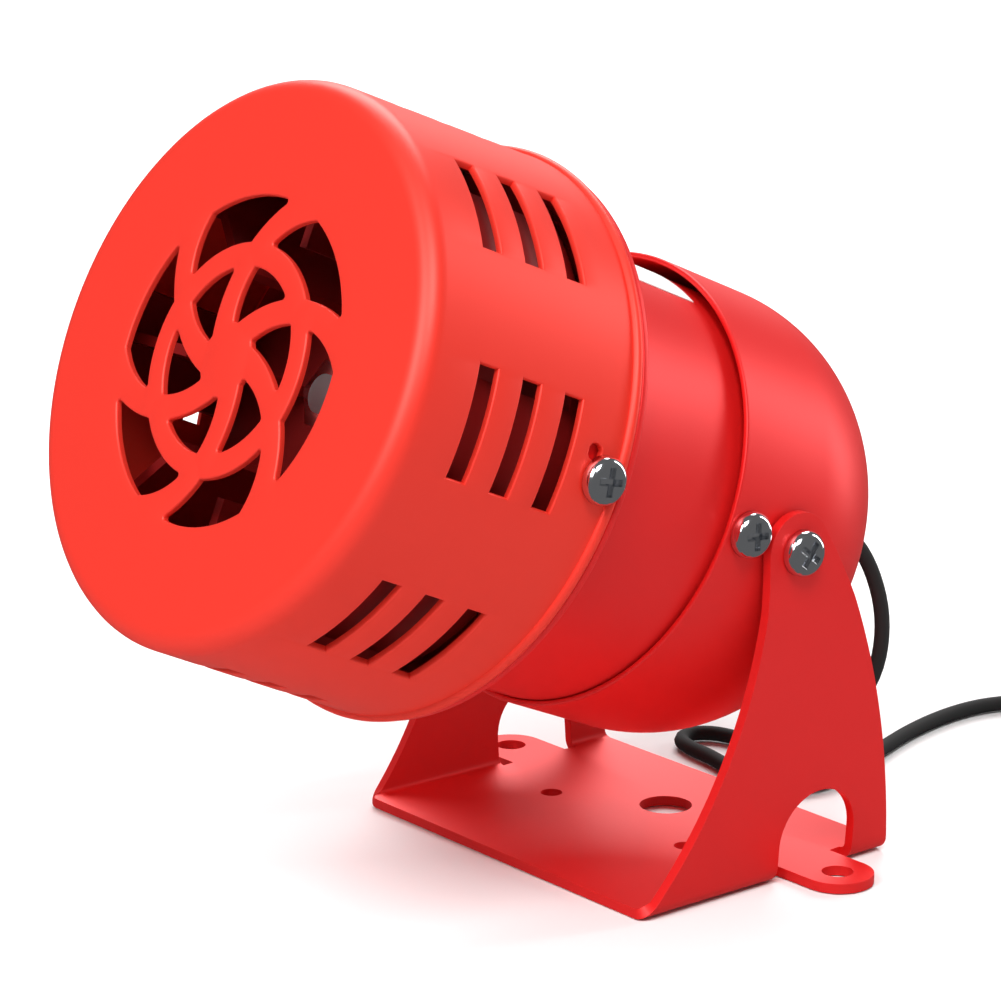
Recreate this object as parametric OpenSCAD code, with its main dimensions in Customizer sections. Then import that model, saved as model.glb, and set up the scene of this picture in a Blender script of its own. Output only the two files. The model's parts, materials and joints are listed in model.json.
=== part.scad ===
// Small motor siren: a tilting siren head with a slotted front cap, held in a sheet-steel stirrup bracket.
// The origin is the centre of the bracket's underside. The head faces -Y and tilts about an axis along X.
// Inside the head frame, z runs forward along the motor shaft, x along the pivot and y upwards.

/* [Bracket] */
// Outer width of the bracket across its feet
bracket_w = 70; // [64:1:78]
// Depth of the bracket from front to back
bracket_d = 51; // [48:1:58]
// Thickness of the bracket sheet
bracket_t = 1.6; // [1.2:0.1:2]
// Outer radius of the bends between base and arms
bend_r = 2.6; // [2:0.1:3.5]
// Height of the tilt axis above the mounting surface
pivot_z = 54; // [52:1:64]
// Distance of the tilt axis behind the middle of the base
pivot_y = 1.5; // [-1:0.5:4]
// Radius of the rounded lug at the top of each arm
lug_r = 6.1; // [5.6:0.1:7]
// Radius of the hollow front edge of the arms
front_edge_r = 73; // [60:1:90]
// Radius of the rounded back edge of the arms
back_edge_r = 124; // [100:2:200]
// Width of the folded-out foot tabs
tab_w = 11.4; // [10:0.2:13]
// Reach of the foot tabs beyond the arms
tab_reach = 10.7; // [9.5:0.1:14]
// Diameter of the hole in each foot tab
tab_hole_d = 5; // [4:0.1:6]
// Diameter of the large hole in the base
centre_hole_d = 8.6; // [6:0.2:12]
// Distance of the row of mounting holes behind the middle of the base
hole_row_y = 9.6; // [6:0.2:12]
// Diameter of the two small holes in the base
small_hole_d = 3.6; // [3:0.1:4.5]
// Distance between the two small holes
small_hole_gap = 33; // [28:1:38]

/* [Siren head] */
// Upward tilt of the head at rest
tilt = 23.5; // [10:0.5:40]
// Radius of the motor housing tube
housing_r = 34.8; // [33:0.2:36]
// Thickness of the drawn sheet of housing, cover and cap
sheet_t = 1; // [0.8:0.1:1.2]
// Distance from the tilt axis to the back face of the housing flange
flange_z = 43.1; // [42:0.5:50]
// Width of the housing flange around the tube
flange_w = 9.4; // [8.4:0.2:12]
// Step from the flange's edge in to the cap's open rim
cap_step = 0.3; // [0:0.1:0.6]
// Narrowing of the cap from its open rim to its face
cap_draft = 1.2; // [0.6:0.1:1.6]
// Depth of the front cap
cap_depth = 40; // [39:0.5:48]
// Radius of the rounded edge around the cap face
cap_edge_r = 3; // [2:0.2:5]
// Gap between the housing tube and the rear cover
cover_gap = 0.9; // [0.6:0.1:1.4]
// Distance from the heads of the cover screws to the rim of the rear cover
cover_margin = 0.5; // [0.3:0.1:1.5]
// Distance from the tilt axis back to the end of the rear cover
cover_back = 32; // [30:0.5:38]
// Radius of the flat middle of the rear cover's end
cover_flat_r = 8.6; // [8.6:0.2:12]

/* [Front cap openings] */
// Number of slot groups around the cap
slot_groups = 8; // [6:1:8]
// Number of slots side by side in a group
slots_in_group = 3; // [2:1:3]
// Width of one slot
slot_w = 3.4; // [2.5:0.1:4]
// Distance between neighbouring slots
slot_pitch = 8; // [6:0.2:8.4]
// Angle that one slot covers
slot_angle = 22; // [16:1:28]
// Angle of the first slot group above the side of the cap
slot_start = 2; // [0:1:10]
// Outer radius of the air inlet in the cap face
inlet_r = 24.6; // [24:0.2:25]
// Radius of the middle ring of the inlet grille
grille_ring_r = 15.8; // [14:0.2:17]
// Width of the middle ring of the inlet grille
grille_ring_w = 3.6; // [2.5:0.1:4.5]
// Radius of the plain boss in the middle of the grille
grille_hub_r = 5.6; // [5:0.1:7]
// Number of curved grille bars
grille_bars = 6; // [5:1:6]

/* [Siren wheel] */
// Gap between the siren wheel and the wall of the cap
wheel_gap = 2.1; // [1.6:0.1:3]
// Number of windows in the siren wheel
wheel_windows = 8; // [6:1:8]
// Gap between the wheel rim and the inside of the cap face
wheel_face_gap = 6; // [4:0.5:10]

/* [Motor] */
// Diameter of the motor shaft
shaft_d = 6; // [5:0.5:6]
// Radial running clearance of the shaft in its bushes
bush_gap = 0.03; // [0.01:0.01:0.06]
// Outer diameter of the sintered bushes
bush_d = 10; // [9:0.5:12]
// Length of the stack of stator and armature sheets
stack_len = 20; // [16:1:23]
// Air gap between armature and stator poles
air_gap = 0.5; // [0.3:0.05:0.8]

/* [Screws] */
// Shank diameter of the cap, cover and pivot screws
screw_d = 4; // [3.4:0.1:4.8]
// Radial clearance of a screw in a through hole
screw_gap = 0.2; // [0.15:0.05:0.3]

/* [Cord] */
// Diameter of the connecting cord
cord_d = 2.6; // [2.2:0.1:3]
// Radius of the coil at the middle of its turns
coil_r = 15; // [13:0.5:16]
// Turns in the coil, one on another
coil_turns = 2; // [1:1:3]

/* [Hidden] */

$fn = 96;
eps = 0.01;
cut = 1;

// Sheet-metal screws and nuts, in proportion to their shanks
screw_head_d = 1.8 * screw_d;
screw_head_h = 0.6 * screw_d;
recess_w = 0.25 * screw_d;
recess_len = 0.97 * screw_d;
screw_rim_h = 0.5 * screw_head_h;
recess_floor = 0.45 * screw_head_h;
screw_tip = 2;
nut_ratio = 1.75;
nut_h = 3.2;
nut_tip = 1.2;
play = 0.05;

// Length of the drills that go through one sheet
drill = 6;

// Radii of the head's shells
cover_t = sheet_t - 0.1;
cover_r = housing_r + cover_gap + cover_t;
cover_lift = cover_gap - 0.1;
cover_edge_r = cover_r - cover_flat_r;
flange_r = housing_r + flange_w;
cap_rim_r = flange_r - cap_step;
cap_face_r = cap_rim_r - cap_draft;

// Bracket
lug_gap = 0.3;
arm_top_x = cover_r + lug_gap + bracket_t;
lug_foot_z = pivot_z - 9;
arch_gap = 2.3;
arch_r = tab_w / 2 + arch_gap;
arch_top = tab_reach + 3.1;
tab_end_r = tab_w / 2;
small_hole_y = -1;
lug_at = [pivot_y, pivot_z];
front_corner = [-bracket_d / 2, 0];
back_corner = [bracket_d / 2, 0];

// Centre of an arc that has one distance from a corner of the base and another from the lug's centre.
function arc_centre(corner, corner_r, centre_r) =
    let (
        line = lug_at - corner,
        gap = norm(line),
        along = (corner_r * corner_r - centre_r * centre_r + gap * gap) / (2 * gap),
        across = sqrt(corner_r * corner_r - along * along)
    )
    corner + (along * line + across * [-line[1], line[0]]) / gap;

// The hollow front edge touches the lug from outside, and the back edge wraps round it.
front_edge_at = arc_centre(front_corner, front_edge_r, front_edge_r + lug_r);
back_edge_at = arc_centre(back_corner, back_edge_r, back_edge_r - lug_r);
front_touch = lug_at + lug_r * (front_edge_at - lug_at) / norm(front_edge_at - lug_at);
back_reach = lug_at + bracket_d * (lug_at - back_edge_at) / norm(lug_at - back_edge_at);

// Stations along the shaft, measured forward from the tilt axis
flange_t = 1.2;
cap_back = flange_z + flange_t + 0.2;
cap_front = cap_back + cap_depth;
cap_taper = (cap_rim_r - cap_face_r) / (cap_depth - cap_edge_r);
cap_bead_r = 0.8;
slot_mid = (cap_back + cap_front) / 2;
head_gap = 0.2;
cap_screw_z = cap_back + screw_head_d / 2 + 0.3;
cap_screw_count = 3;
notch_at = [-2.2, 3.4];
notch_r = 1.3;
slot_cut = 4;
cap_screw_seat = cap_rim_r - cap_taper * (cap_screw_z - cap_back - screw_head_d / 2);
skirt_h = 7.5;
skirt_r = cap_rim_r - cap_taper * (skirt_h + flange_t) - sheet_t - 0.2;
cover_screw_z = lug_r + screw_head_d / 2 + head_gap;
cover_front = cover_screw_z + screw_head_d / 2 + cover_margin;
label_gap = 0.8;
label_w = 12.8;
label_t = 0.15;
label_angle = 51;
housing_back = -8;
shield_t = 2.5;
front_shield_r = skirt_r - sheet_t - 3.4;
boss_r = 9;
front_boss = [flange_z - 0.6, flange_z + flange_t + 5.7];
rear_boss = [housing_back - 8, housing_back + shield_t];
thrust_r = 5.5;
thrust_t = 0.9;
wheel_plate_t = 1.5;
wheel_plate_z = front_boss[1] + 2;
wheel_wall_t = 1.6;
wheel_bore_r = 5;
wheel_blade_r = 19;
hub_flange = [8.5, 1.5];
hub_len = 9;
wheel_nut_af = 10;
wheel_nut_h = 4;
wheel_r = cap_face_r - sheet_t - wheel_gap;
wheel_rim_h = cap_front - sheet_t - wheel_face_gap - wheel_plate_z - wheel_plate_t;
stack_z = flange_z - stack_len - 6.1;
armature_r = 0.49 * housing_r;
armature_teeth = 12;
tooth_h = 5;
tooth_gap = 1.8;
commutator_r = 0.556 * armature_r;
pole_w = 0.46 * housing_r;
pole_r = armature_r + air_gap;
shoe_half_angle = 50;
yoke_in_r = 0.733 * housing_r;
yoke_r = housing_r - sheet_t - 0.1;
shoe_t = 3.5;
coil_overhang = 4.5;
coil_wire_w = 0.17 * housing_r;
coil_play = 0.1;
winding_r = armature_r - 1.6;
winding_gap = 1.5;
winding_len = [6, 4.5];
tie_r = yoke_r - 4.1;
tie_d = 4;
tie_angle = 45;
tie_head_d = 6.6;
tie_head_h = 2.6;
tie_tip = 0.5;
spacer_r = 3.4;
commutator_z = [stack_z - 17, stack_z - 7];
bar_slit = 0.5;
brush_w = 5;
brush_z = (commutator_z[0] + commutator_z[1]) / 2;
brush_start = commutator_r - 1;
spring_len = 6.5;
spring_turns = 5;
spring_pitch = 1.3;
spring_r = 1.8;
spring_wire_r = 0.35;
holder_wall = 1;
holder_play = 0.1;
holder_start = commutator_r + 2.5;
holder_out = 0.747 * housing_r;
holder_foot = [commutator_r + 8, 5];
brush_len = holder_out - holder_wall - brush_start - spring_len;
pivot_washer = [5, 0.25];
shaft_ends = [rear_boss[0] - 2, wheel_plate_z + hub_len + wheel_nut_h + 1];

// Terminal block and the wires inside the head
block_size = [12, 9, 6];
block_y = 17;
terminal_at = [2.8, 21.5];
terminal_depth = 4;
lead_hole_d = 2.3;
jacket_in = 6;
jacket_out = 4;

// Cord grommet and the path of the cord
grommet_y = 6.8;
grommet_tip_r = 40.2;
grommet_flange_r = 3.9;
grommet_neck_r = grommet_flange_r - 1;
grommet_flange_t = 1.45;
grommet_len = 8.5;
grommet_tip_wall = 0.8;
cord_r = cord_d / 2;
cord_sides = 8;
floor_z = 1.3;
cord_route = [
    [0, 41, 44.3], [0.3, 44, 43.6], [1.5, 47.5, 41.8], [3.2, 50, 38.5], [4.8, 51.5, 34],
    [6.2, 52, 29], [7, 51.6, 24], [7, 50.5, 19], [5.5, 49, 14], [2, 47.3, 9], [-3.2, 45.6, 4.8],
    [-9, 44.4, 2], [-14.5, 43.4, floor_z], [-19.5, 42.8, floor_z], [-23.6, 41.2, floor_z],
    [-25.5, 38, floor_z], [-23.9, 34.6, floor_z], [-19.8, 33.1, floor_z], [-14, 32.4, floor_z],
    [-7.6, 31, floor_z], [-1.6, 30, floor_z], [3.6, 31, floor_z], [6.9, 34.6, floor_z],
    [7.4, 40, floor_z], [5.8, 46.5, floor_z], [3.2, 53.2, floor_z], [0.6, 60, floor_z],
    [-1.8, 67, floor_z], [-3.7, 74.4, floor_z], [-4.8, 82, floor_z], [-4.6, 89, floor_z],
    [-2.6, 95, floor_z], [0.6, 99.6, floor_z], [2.5, 104, floor_z]
];
coil_at = [17.5, 104];
end_route = [
    [3.5, 95.9, 3.9], [0.6, 99.7, 3.9], [-0.3, 104, 3.9], [-0.4, 108, 3.2], [-0.6, 112, 2.1],
    [-0.8, 115.4, 1.5]
];
core_len = 6;
core_r = 0.55;
core_x = 0.65;
core_turn = 95;

// Places the head's parts: z forward along the shaft, x along the pivot, y upwards.
module head() {
    translate([0, pivot_y, pivot_z]) rotate([90 - tilt, 0, 0]) children();
}

// Repeats its children on both sides of the head.
module both_sides() {
    for (side = [0, 180]) rotate([0, 0, side]) children();
}

// A tube between two stations on the shaft line.
module ring(r_out, r_in, from, to) {
    translate([0, 0, from]) difference() {
        cylinder(h = to - from, r = r_out);
        translate([0, 0, -cut]) cylinder(h = to - from + 2 * cut, r = r_in);
    }
}

// A pan-head screw along +X: the head's underside is at x = seat, and the shank runs inwards.
module pan_screw(seat, len) {
    crown_h = screw_head_h - screw_rim_h;
    crown_r = (pow(screw_head_d / 2, 2) + pow(crown_h, 2)) / (2 * crown_h);
    translate([seat, 0, 0]) rotate([0, 90, 0]) difference() {
        union() {
            translate([0, 0, -len]) cylinder(h = len + eps, d = screw_d);
            cylinder(h = screw_rim_h, d = screw_head_d);
            intersection() {
                cylinder(h = screw_head_h, d = screw_head_d);
                translate([0, 0, screw_head_h - crown_r]) sphere(r = crown_r);
            }
        }
        for (turn = [0, 90]) rotate([0, 0, turn])
            translate([-recess_len / 2, -recess_w / 2, recess_floor])
                cube([recess_len, recess_w, screw_head_h]);
    }
}

// A hexagon nut along the given direction, bored for its screw.
module hex_nut(af, bore, h) {
    difference() {
        cylinder(h = h, r = af / sqrt(3), $fn = 6);
        translate([0, 0, -cut]) cylinder(h = h + 2 * cut, d = bore);
    }
}

// Side view of one arm, drawn with y to the right and z upwards.
module arm_outline() {
    difference() {
        union() {
            intersection() {
                translate(back_edge_at) circle(r = back_edge_r, $fn = 360);
                polygon([front_corner, [bracket_d, 0], back_reach, lug_at, front_touch]);
            }
            translate(lug_at) circle(r = lug_r);
        }
        translate(front_edge_at) circle(r = front_edge_r, $fn = 360);
        translate(lug_at) circle(d = screw_d + 2 * screw_gap);
        arch_outline();
    }
}

// The arch that the foot tab leaves in an arm.
module arch_outline() {
    translate([hole_row_y, arch_top - arch_r]) circle(r = arch_r);
    translate([hole_row_y - arch_r, bracket_t]) square([2 * arch_r, arch_top - arch_r - bracket_t]);
}

// Front view of the bent sheet, half of it, drawn with x to the right and z upwards.
module stirrup_section() {
    foot_x = bracket_w / 2;
    square([foot_x - bend_r, bracket_t]);
    translate([foot_x - bend_r, bend_r]) intersection() {
        difference() {
            circle(r = bend_r);
            circle(r = bend_r - bracket_t);
        }
        translate([0, -bend_r]) square(bend_r);
    }
    polygon([
        [foot_x - bracket_t, bend_r], [foot_x, bend_r], [arm_top_x, lug_foot_z],
        [arm_top_x, pivot_z + lug_r + cut], [arm_top_x - bracket_t, pivot_z + lug_r + cut],
        [arm_top_x - bracket_t, lug_foot_z]
    ]);
}

// One half of the bracket's bent sheet with its foot tab.
module bracket_half() {
    intersection() {
        translate([0, bracket_d / 2, 0]) rotate([90, 0, 0]) linear_extrude(bracket_d) stirrup_section();
        rotate([90, 0, 90]) linear_extrude(arm_top_x + cut) union() {
            arm_outline();
            translate([-bracket_d / 2, 0]) square([bracket_d, bend_r]);
        }
    }
    linear_extrude(bracket_t) difference() {
        union() {
            translate([bracket_w / 2 - bend_r - cut, hole_row_y - tab_w / 2])
                square([tab_reach + bend_r + cut - tab_end_r, tab_w]);
            translate([bracket_w / 2 + tab_reach - tab_end_r, hole_row_y]) circle(r = tab_end_r);
        }
        translate([bracket_w / 2 + tab_reach - tab_end_r, hole_row_y]) circle(d = tab_hole_d);
    }
}

module bracket() {
    color([0.86, 0.03, 0.03]) difference() {
        union() {
            bracket_half();
            mirror([1, 0, 0]) bracket_half();
        }
        translate([0, hole_row_y, -cut]) cylinder(h = bracket_t + 2 * cut, d = centre_hole_d);
        for (side = [-1, 1])
            translate([side * small_hole_gap / 2, small_hole_y, -cut])
                cylinder(h = bracket_t + 2 * cut, d = small_hole_d);
    }
}

// Half section of the cap as a filled cup, shrunk by a wall thickness.
module cap_section(wall) {
    face_r = cap_face_r - wall;
    edge = cap_edge_r - wall;
    shoulder = cap_depth - cap_edge_r;
    polygon([
        [0, wall > 0 ? -cut : 0], [cap_rim_r - wall, wall > 0 ? -cut : 0], [cap_rim_r - wall, 0],
        [face_r, shoulder], [face_r - edge, shoulder + edge], [0, shoulder + edge]
    ]);
    translate([face_r - edge, shoulder]) intersection() {
        circle(r = edge);
        square(edge);
    }
}

// One curved bar of the grille, between two arcs that spread apart towards the rim.
module grille_bar() {
    intersection() {
        difference() {
            translate(inlet_r * [0.64, 0.305]) circle(r = 0.858 * inlet_r);
            translate(inlet_r * [0.504, 0.354]) circle(r = 0.561 * inlet_r);
        }
        translate([-inlet_r / 3, inlet_r / 12]) square([0.8 * inlet_r, 1.1 * inlet_r]);
    }
}

// The openings of the inlet grille.
module grille_openings() {
    difference() {
        circle(r = inlet_r);
        difference() {
            circle(r = grille_ring_r + grille_ring_w / 2);
            circle(r = grille_ring_r - grille_ring_w / 2);
        }
        circle(r = grille_hub_r);
        for (bar = [0:grille_bars - 1]) rotate(bar * 360 / grille_bars) grille_bar();
    }
}

module front_cap() {
    color([0.95, 0.1, 0.08]) head() difference() {
        translate([0, 0, cap_back]) rotate_extrude() difference() {
            union() {
                cap_section(0);
                translate([cap_rim_r, cap_bead_r]) circle(r = cap_bead_r, $fn = 24);
            }
            cap_section(sheet_t);
        }
        translate([0, 0, cap_front - 2 * sheet_t]) linear_extrude(4 * sheet_t) grille_openings();
        for (group = [0:slot_groups - 1], slot = [0:slots_in_group - 1])
            rotate([0, 0, slot_start + group * 360 / slot_groups - slot_angle / 2])
                translate([0, 0, slot_mid + (slot - (slots_in_group - 1) / 2) * slot_pitch - slot_w / 2])
                    rotate_extrude(angle = slot_angle)
                        translate([cap_face_r - slot_cut, 0]) square([2 * slot_cut, slot_w]);
        for (turn = [0:cap_screw_count - 1]) rotate([0, 0, turn * 360 / cap_screw_count])
            translate([0, 0, cap_screw_z]) rotate([0, 90, 0]) {
                translate([0, 0, cap_screw_seat]) cylinder(h = drill, d = screw_head_d + 2 * head_gap);
                translate([0, 0, skirt_r]) cylinder(h = drill, d = screw_d + 2 * screw_gap);
                translate([notch_at[0], notch_at[1], skirt_r - sheet_t]) cylinder(h = drill, r = notch_r);
            }
    }
}

module cap_screws() {
    color([0.75, 0.77, 0.8]) head() for (turn = [0:cap_screw_count - 1])
        rotate([0, 0, turn * 360 / cap_screw_count])
            translate([0, 0, cap_screw_z])
                pan_screw(cap_screw_seat, cap_screw_seat - skirt_r + sheet_t + screw_tip);
}

module motor_housing() {
    color([0.86, 0.03, 0.03]) head() difference() {
        union() {
            ring(housing_r, housing_r - sheet_t, housing_back, flange_z + eps);
            ring(flange_r, housing_r - sheet_t, flange_z, flange_z + flange_t);
            ring(skirt_r, skirt_r - sheet_t, flange_z + flange_t - eps, flange_z + flange_t + skirt_h);
        }
        both_sides() for (station = [0, cover_screw_z])
            translate([housing_r - drill / 2, 0, station]) rotate([0, 90, 0])
                cylinder(h = drill, d = screw_d);
        for (turn = [0:cap_screw_count - 1]) rotate([0, 0, turn * 360 / cap_screw_count])
            translate([skirt_r - drill / 2, 0, cap_screw_z]) rotate([0, 90, 0])
                cylinder(h = drill, d = screw_d);
    }
}

// Half section of the rear cover as a filled cup that opens forwards, shrunk by a wall thickness.
module cover_section(wall) {
    edge = cover_edge_r - wall;
    flat_r = cover_r - cover_edge_r;
    bend_z = cover_edge_r - cover_back;
    translate([0, bend_z - edge]) square([flat_r, edge + eps]);
    translate([0, bend_z]) square([cover_r - wall, cover_front - bend_z + (wall > 0 ? cut : 0)]);
    translate([flat_r, bend_z]) intersection() {
        circle(r = edge, $fn = 180);
        translate([0, -edge]) square([edge, edge]);
    }
}

module rear_cover() {
    color([0.86, 0.03, 0.03]) head() difference() {
        translate([0, cover_lift, 0]) rotate_extrude() difference() {
            cover_section(0);
            cover_section(cover_t);
        }
        both_sides() for (station = [0, cover_screw_z])
            translate([cover_r - drill / 2, 0, station]) rotate([0, 90, 0])
                cylinder(h = drill, d = screw_d + 2 * screw_gap);
        translate([0, grommet_y, -cover_back - cut]) cylinder(h = drill, r = grommet_neck_r);
    }
}

module cover_screws() {
    color([0.75, 0.77, 0.8]) head() both_sides()
        translate([0, 0, cover_screw_z]) pan_screw(cover_r, cover_r - housing_r + sheet_t + screw_tip);
}

module rating_label() {
    color("white") head() rotate([0, 0, 90 - label_angle / 2]) rotate_extrude(angle = label_angle)
        translate([housing_r, cover_front + label_gap]) square([label_t, label_w]);
}

module pivot_screws() {
    color([0.75, 0.77, 0.8]) head() both_sides()
        pan_screw(arm_top_x + play, arm_top_x - housing_r + sheet_t + nut_h + nut_tip);
}

module pivot_washers() {
    color([0.2, 0.2, 0.22]) head() both_sides()
        translate([cover_r, 0, 0]) rotate([0, 90, 0])
            ring(pivot_washer[0], screw_d / 2, 0, pivot_washer[1]);
}

module pivot_nuts() {
    seat = sqrt(pow(housing_r - sheet_t, 2) - pow(nut_ratio * screw_d / sqrt(3), 2)) - play;
    color([0.7, 0.7, 0.7]) head() both_sides()
        translate([seat - nut_h, 0, 0]) rotate([0, 90, 0]) hex_nut(nut_ratio * screw_d, screw_d, nut_h);
}

// Repeats its children at the two tie bolts.
module at_ties() {
    for (turn = [0, 180]) rotate([0, 0, turn + tie_angle]) translate([tie_r, 0, 0]) children();
}

module front_shield() {
    color([0.8, 0.05, 0.05]) head() difference() {
        union() {
            ring(front_shield_r, bush_d / 2, flange_z + flange_t, flange_z + flange_t + shield_t);
            ring(boss_r, bush_d / 2, front_boss[0], front_boss[1]);
        }
        at_ties() translate([0, 0, flange_z]) cylinder(h = drill, d = tie_d + 2 * screw_gap);
    }
}

module rear_shield() {
    color([0.6, 0.6, 0.6]) head() difference() {
        union() {
            ring(yoke_r, bush_d / 2, housing_back, housing_back + shield_t);
            ring(boss_r, bush_d / 2, rear_boss[0], rear_boss[1]);
        }
        at_ties() translate([0, 0, housing_back - cut])
            cylinder(h = drill, d = tie_d + 2 * screw_gap);
        for (side = [-1, 1]) translate([side * terminal_at[0], terminal_at[1], housing_back - cut])
            cylinder(h = drill, d = lead_hole_d);
    }
}

module front_bush() {
    color([0.72, 0.5, 0.25]) head()
        ring(bush_d / 2, shaft_d / 2 + bush_gap, front_boss[0], front_boss[1]);
}

module rear_bush() {
    color([0.72, 0.5, 0.25]) head()
        ring(bush_d / 2, shaft_d / 2 + bush_gap, rear_boss[0], rear_boss[1]);
}

// A sector from the shaft line, between two angles, as a clipping shape.
module sector(from, to, reach) {
    polygon([
        [0, 0], reach * [cos(from), sin(from)],
        1.5 * reach * [cos((from + to) / 2), sin((from + to) / 2)], reach * [cos(to), sin(to)]
    ]);
}

module stator_core() {
    color([0.45, 0.46, 0.48]) head() translate([0, 0, stack_z]) linear_extrude(stack_len) difference() {
        union() {
            difference() {
                circle(r = yoke_r);
                circle(r = yoke_in_r);
            }
            for (pole = [90, 270]) {
                rotate(pole) translate([pole_r + cut, -pole_w / 2])
                    square([yoke_in_r - pole_r, pole_w]);
                intersection() {
                    circle(r = pole_r + shoe_t);
                    sector(pole - shoe_half_angle, pole + shoe_half_angle, yoke_r);
                }
            }
        }
        circle(r = pole_r);
        at_ties() circle(d = tie_d + 2 * screw_gap);
    }
}

module field_coils() {
    long = stack_len + 2 * coil_overhang;
    wide = pole_w + 2 * coil_wire_w;
    color([0.72, 0.35, 0.15]) head() for (pole = [90, 270]) rotate([0, 0, pole])
        intersection() {
            translate([pole_r + shoe_t, 0, stack_z + stack_len / 2]) rotate([0, 90, 0])
                linear_extrude(yoke_in_r - pole_r - shoe_t + cut) difference() {
                    square([long, wide], center = true);
                    square([stack_len + 2 * coil_play, pole_w + 2 * coil_play], center = true);
                }
            ring(
                yoke_in_r - coil_play, pole_r + shoe_t + coil_play,
                stack_z - 2 * coil_overhang, stack_z + stack_len + 2 * coil_overhang
            );
        }
}

module tie_bolts() {
    back = housing_back - tie_head_h;
    front = flange_z + flange_t + shield_t + nut_h + tie_tip;
    color([0.6, 0.62, 0.65]) head() at_ties() translate([0, 0, back]) {
        cylinder(h = tie_head_h, d = tie_head_d);
        translate([0, 0, eps]) cylinder(h = front - back, d = tie_d);
    }
}

module tie_spacers() {
    color([0.7, 0.7, 0.7]) head() at_ties() {
        ring(spacer_r, tie_d / 2 + 2 * play, housing_back + shield_t, stack_z);
        ring(spacer_r, tie_d / 2 + 2 * play, stack_z + stack_len, flange_z + flange_t);
    }
}

module tie_nuts() {
    color([0.7, 0.7, 0.7]) head() at_ties()
        translate([0, 0, flange_z + flange_t + shield_t]) hex_nut(nut_ratio * tie_d, tie_d, nut_h);
}

// Repeats its children at the upper and the lower brush, with x pointing away from the shaft.
module at_brushes() {
    for (turn = [90, 270]) rotate([0, 0, turn]) translate([0, 0, brush_z]) children();
}

module brush_holders() {
    inner = brush_w + 2 * holder_play;
    side = inner + 2 * holder_wall;
    foot = brush_z - side / 2 - housing_back - shield_t;
    color([0.35, 0.2, 0.1]) head() at_brushes() difference() {
        union() {
            translate([holder_start, -side / 2, -side / 2])
                cube([holder_out - holder_start, side, side]);
            translate([holder_foot[0], -side / 2, -side / 2 - foot])
                cube([holder_foot[1], side, foot + eps]);
        }
        translate([commutator_r, -inner / 2, -inner / 2])
            cube([holder_out - commutator_r - holder_wall, inner, inner]);
    }
}

module brushes() {
    color([0.15, 0.15, 0.16]) head() at_brushes() difference() {
        translate([brush_start, -brush_w / 2, -brush_w / 2]) cube([brush_len, brush_w, brush_w]);
        translate([0, 0, -brush_w]) cylinder(h = 2 * brush_w, r = commutator_r + play);
    }
}

module brush_springs() {
    start = brush_start + brush_len + spring_wire_r + play;
    color([0.8, 0.8, 0.8]) head() at_brushes() rotate([0, 90, 0])
        for (turn = [0:spring_turns - 1]) translate([0, 0, start + turn * spring_pitch])
            rotate_extrude() translate([spring_r, 0]) circle(r = spring_wire_r, $fn = 24);
}

module terminal_block() {
    color([0.9, 0.88, 0.8]) head() difference() {
        translate([-block_size[0] / 2, block_y, housing_back - block_size[2]]) cube(block_size);
        for (side = [-1, 1])
            translate([side * terminal_at[0], terminal_at[1], housing_back - block_size[2] - cut])
                cylinder(h = terminal_depth + cut, d = lead_hole_d);
    }
}

module inner_leads() {
    wire_from = [0, grommet_y, -cover_back + jacket_in];
    color([0.1, 0.1, 0.1]) head() {
        translate([0, grommet_y, -cover_back - jacket_out])
            cylinder(h = jacket_in + jacket_out + core_r, r = cord_r);
        for (side = [-1, 1]) {
            wire_to = [side * terminal_at[0], terminal_at[1], housing_back - terminal_depth];
            path = wire_to - wire_from;
            translate(wire_from) rotate([0, acos(path[2] / norm(path)), atan2(path[1], path[0])])
                cylinder(h = norm(path), r = core_r);
        }
    }
}

// The grommet's tip follows a circle about the tilt axis, so it turns clear of the cord.
module cord_grommet() {
    color([0.06, 0.06, 0.06]) head() intersection() {
        translate([0, grommet_y, -cover_back]) rotate([180, 0, 0]) difference() {
            rotate_extrude() polygon([
                [0, -cover_t - grommet_flange_t], [grommet_flange_r, -cover_t - grommet_flange_t],
                [grommet_flange_r, -cover_t - play], [grommet_neck_r, -cover_t - play],
                [grommet_neck_r, play], [grommet_flange_r, play], [grommet_flange_r, grommet_flange_t],
                [grommet_neck_r, 1.5 * grommet_flange_t], [cord_r + grommet_tip_wall, grommet_len],
                [0, grommet_len]
            ]);
            translate([0, 0, -cover_t - grommet_flange_t - cut])
                cylinder(h = cover_t + grommet_flange_t + cut + jacket_out, r = cord_r);
        }
        rotate([0, 90, 0])
            cylinder(h = 4 * grommet_flange_r, r = grommet_tip_r, center = true, $fn = 360);
    }
}

module motor_shaft() {
    color([0.75, 0.76, 0.78]) head() translate([0, 0, shaft_ends[0]])
        cylinder(h = shaft_ends[1] - shaft_ends[0], d = shaft_d);
}

module armature_core() {
    color([0.5, 0.5, 0.52]) head() translate([0, 0, stack_z]) linear_extrude(stack_len) difference() {
        circle(r = armature_r);
        circle(d = shaft_d);
        for (tooth = [0:armature_teeth - 1]) rotate((tooth + 0.5) * 360 / armature_teeth)
            translate([armature_r - tooth_h, 0]) {
                circle(r = 0.34 * tooth_h);
                translate([0, -tooth_gap / 2]) square([tooth_h + cut, tooth_gap]);
            }
    }
}

module armature_windings() {
    stack_end = stack_z + stack_len;
    color([0.72, 0.35, 0.15]) head() {
        ring(winding_r, shaft_d / 2 + winding_gap, stack_z - winding_len[0], stack_z);
        ring(winding_r, shaft_d / 2 + winding_gap, stack_end, stack_end + winding_len[1]);
    }
}

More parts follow.
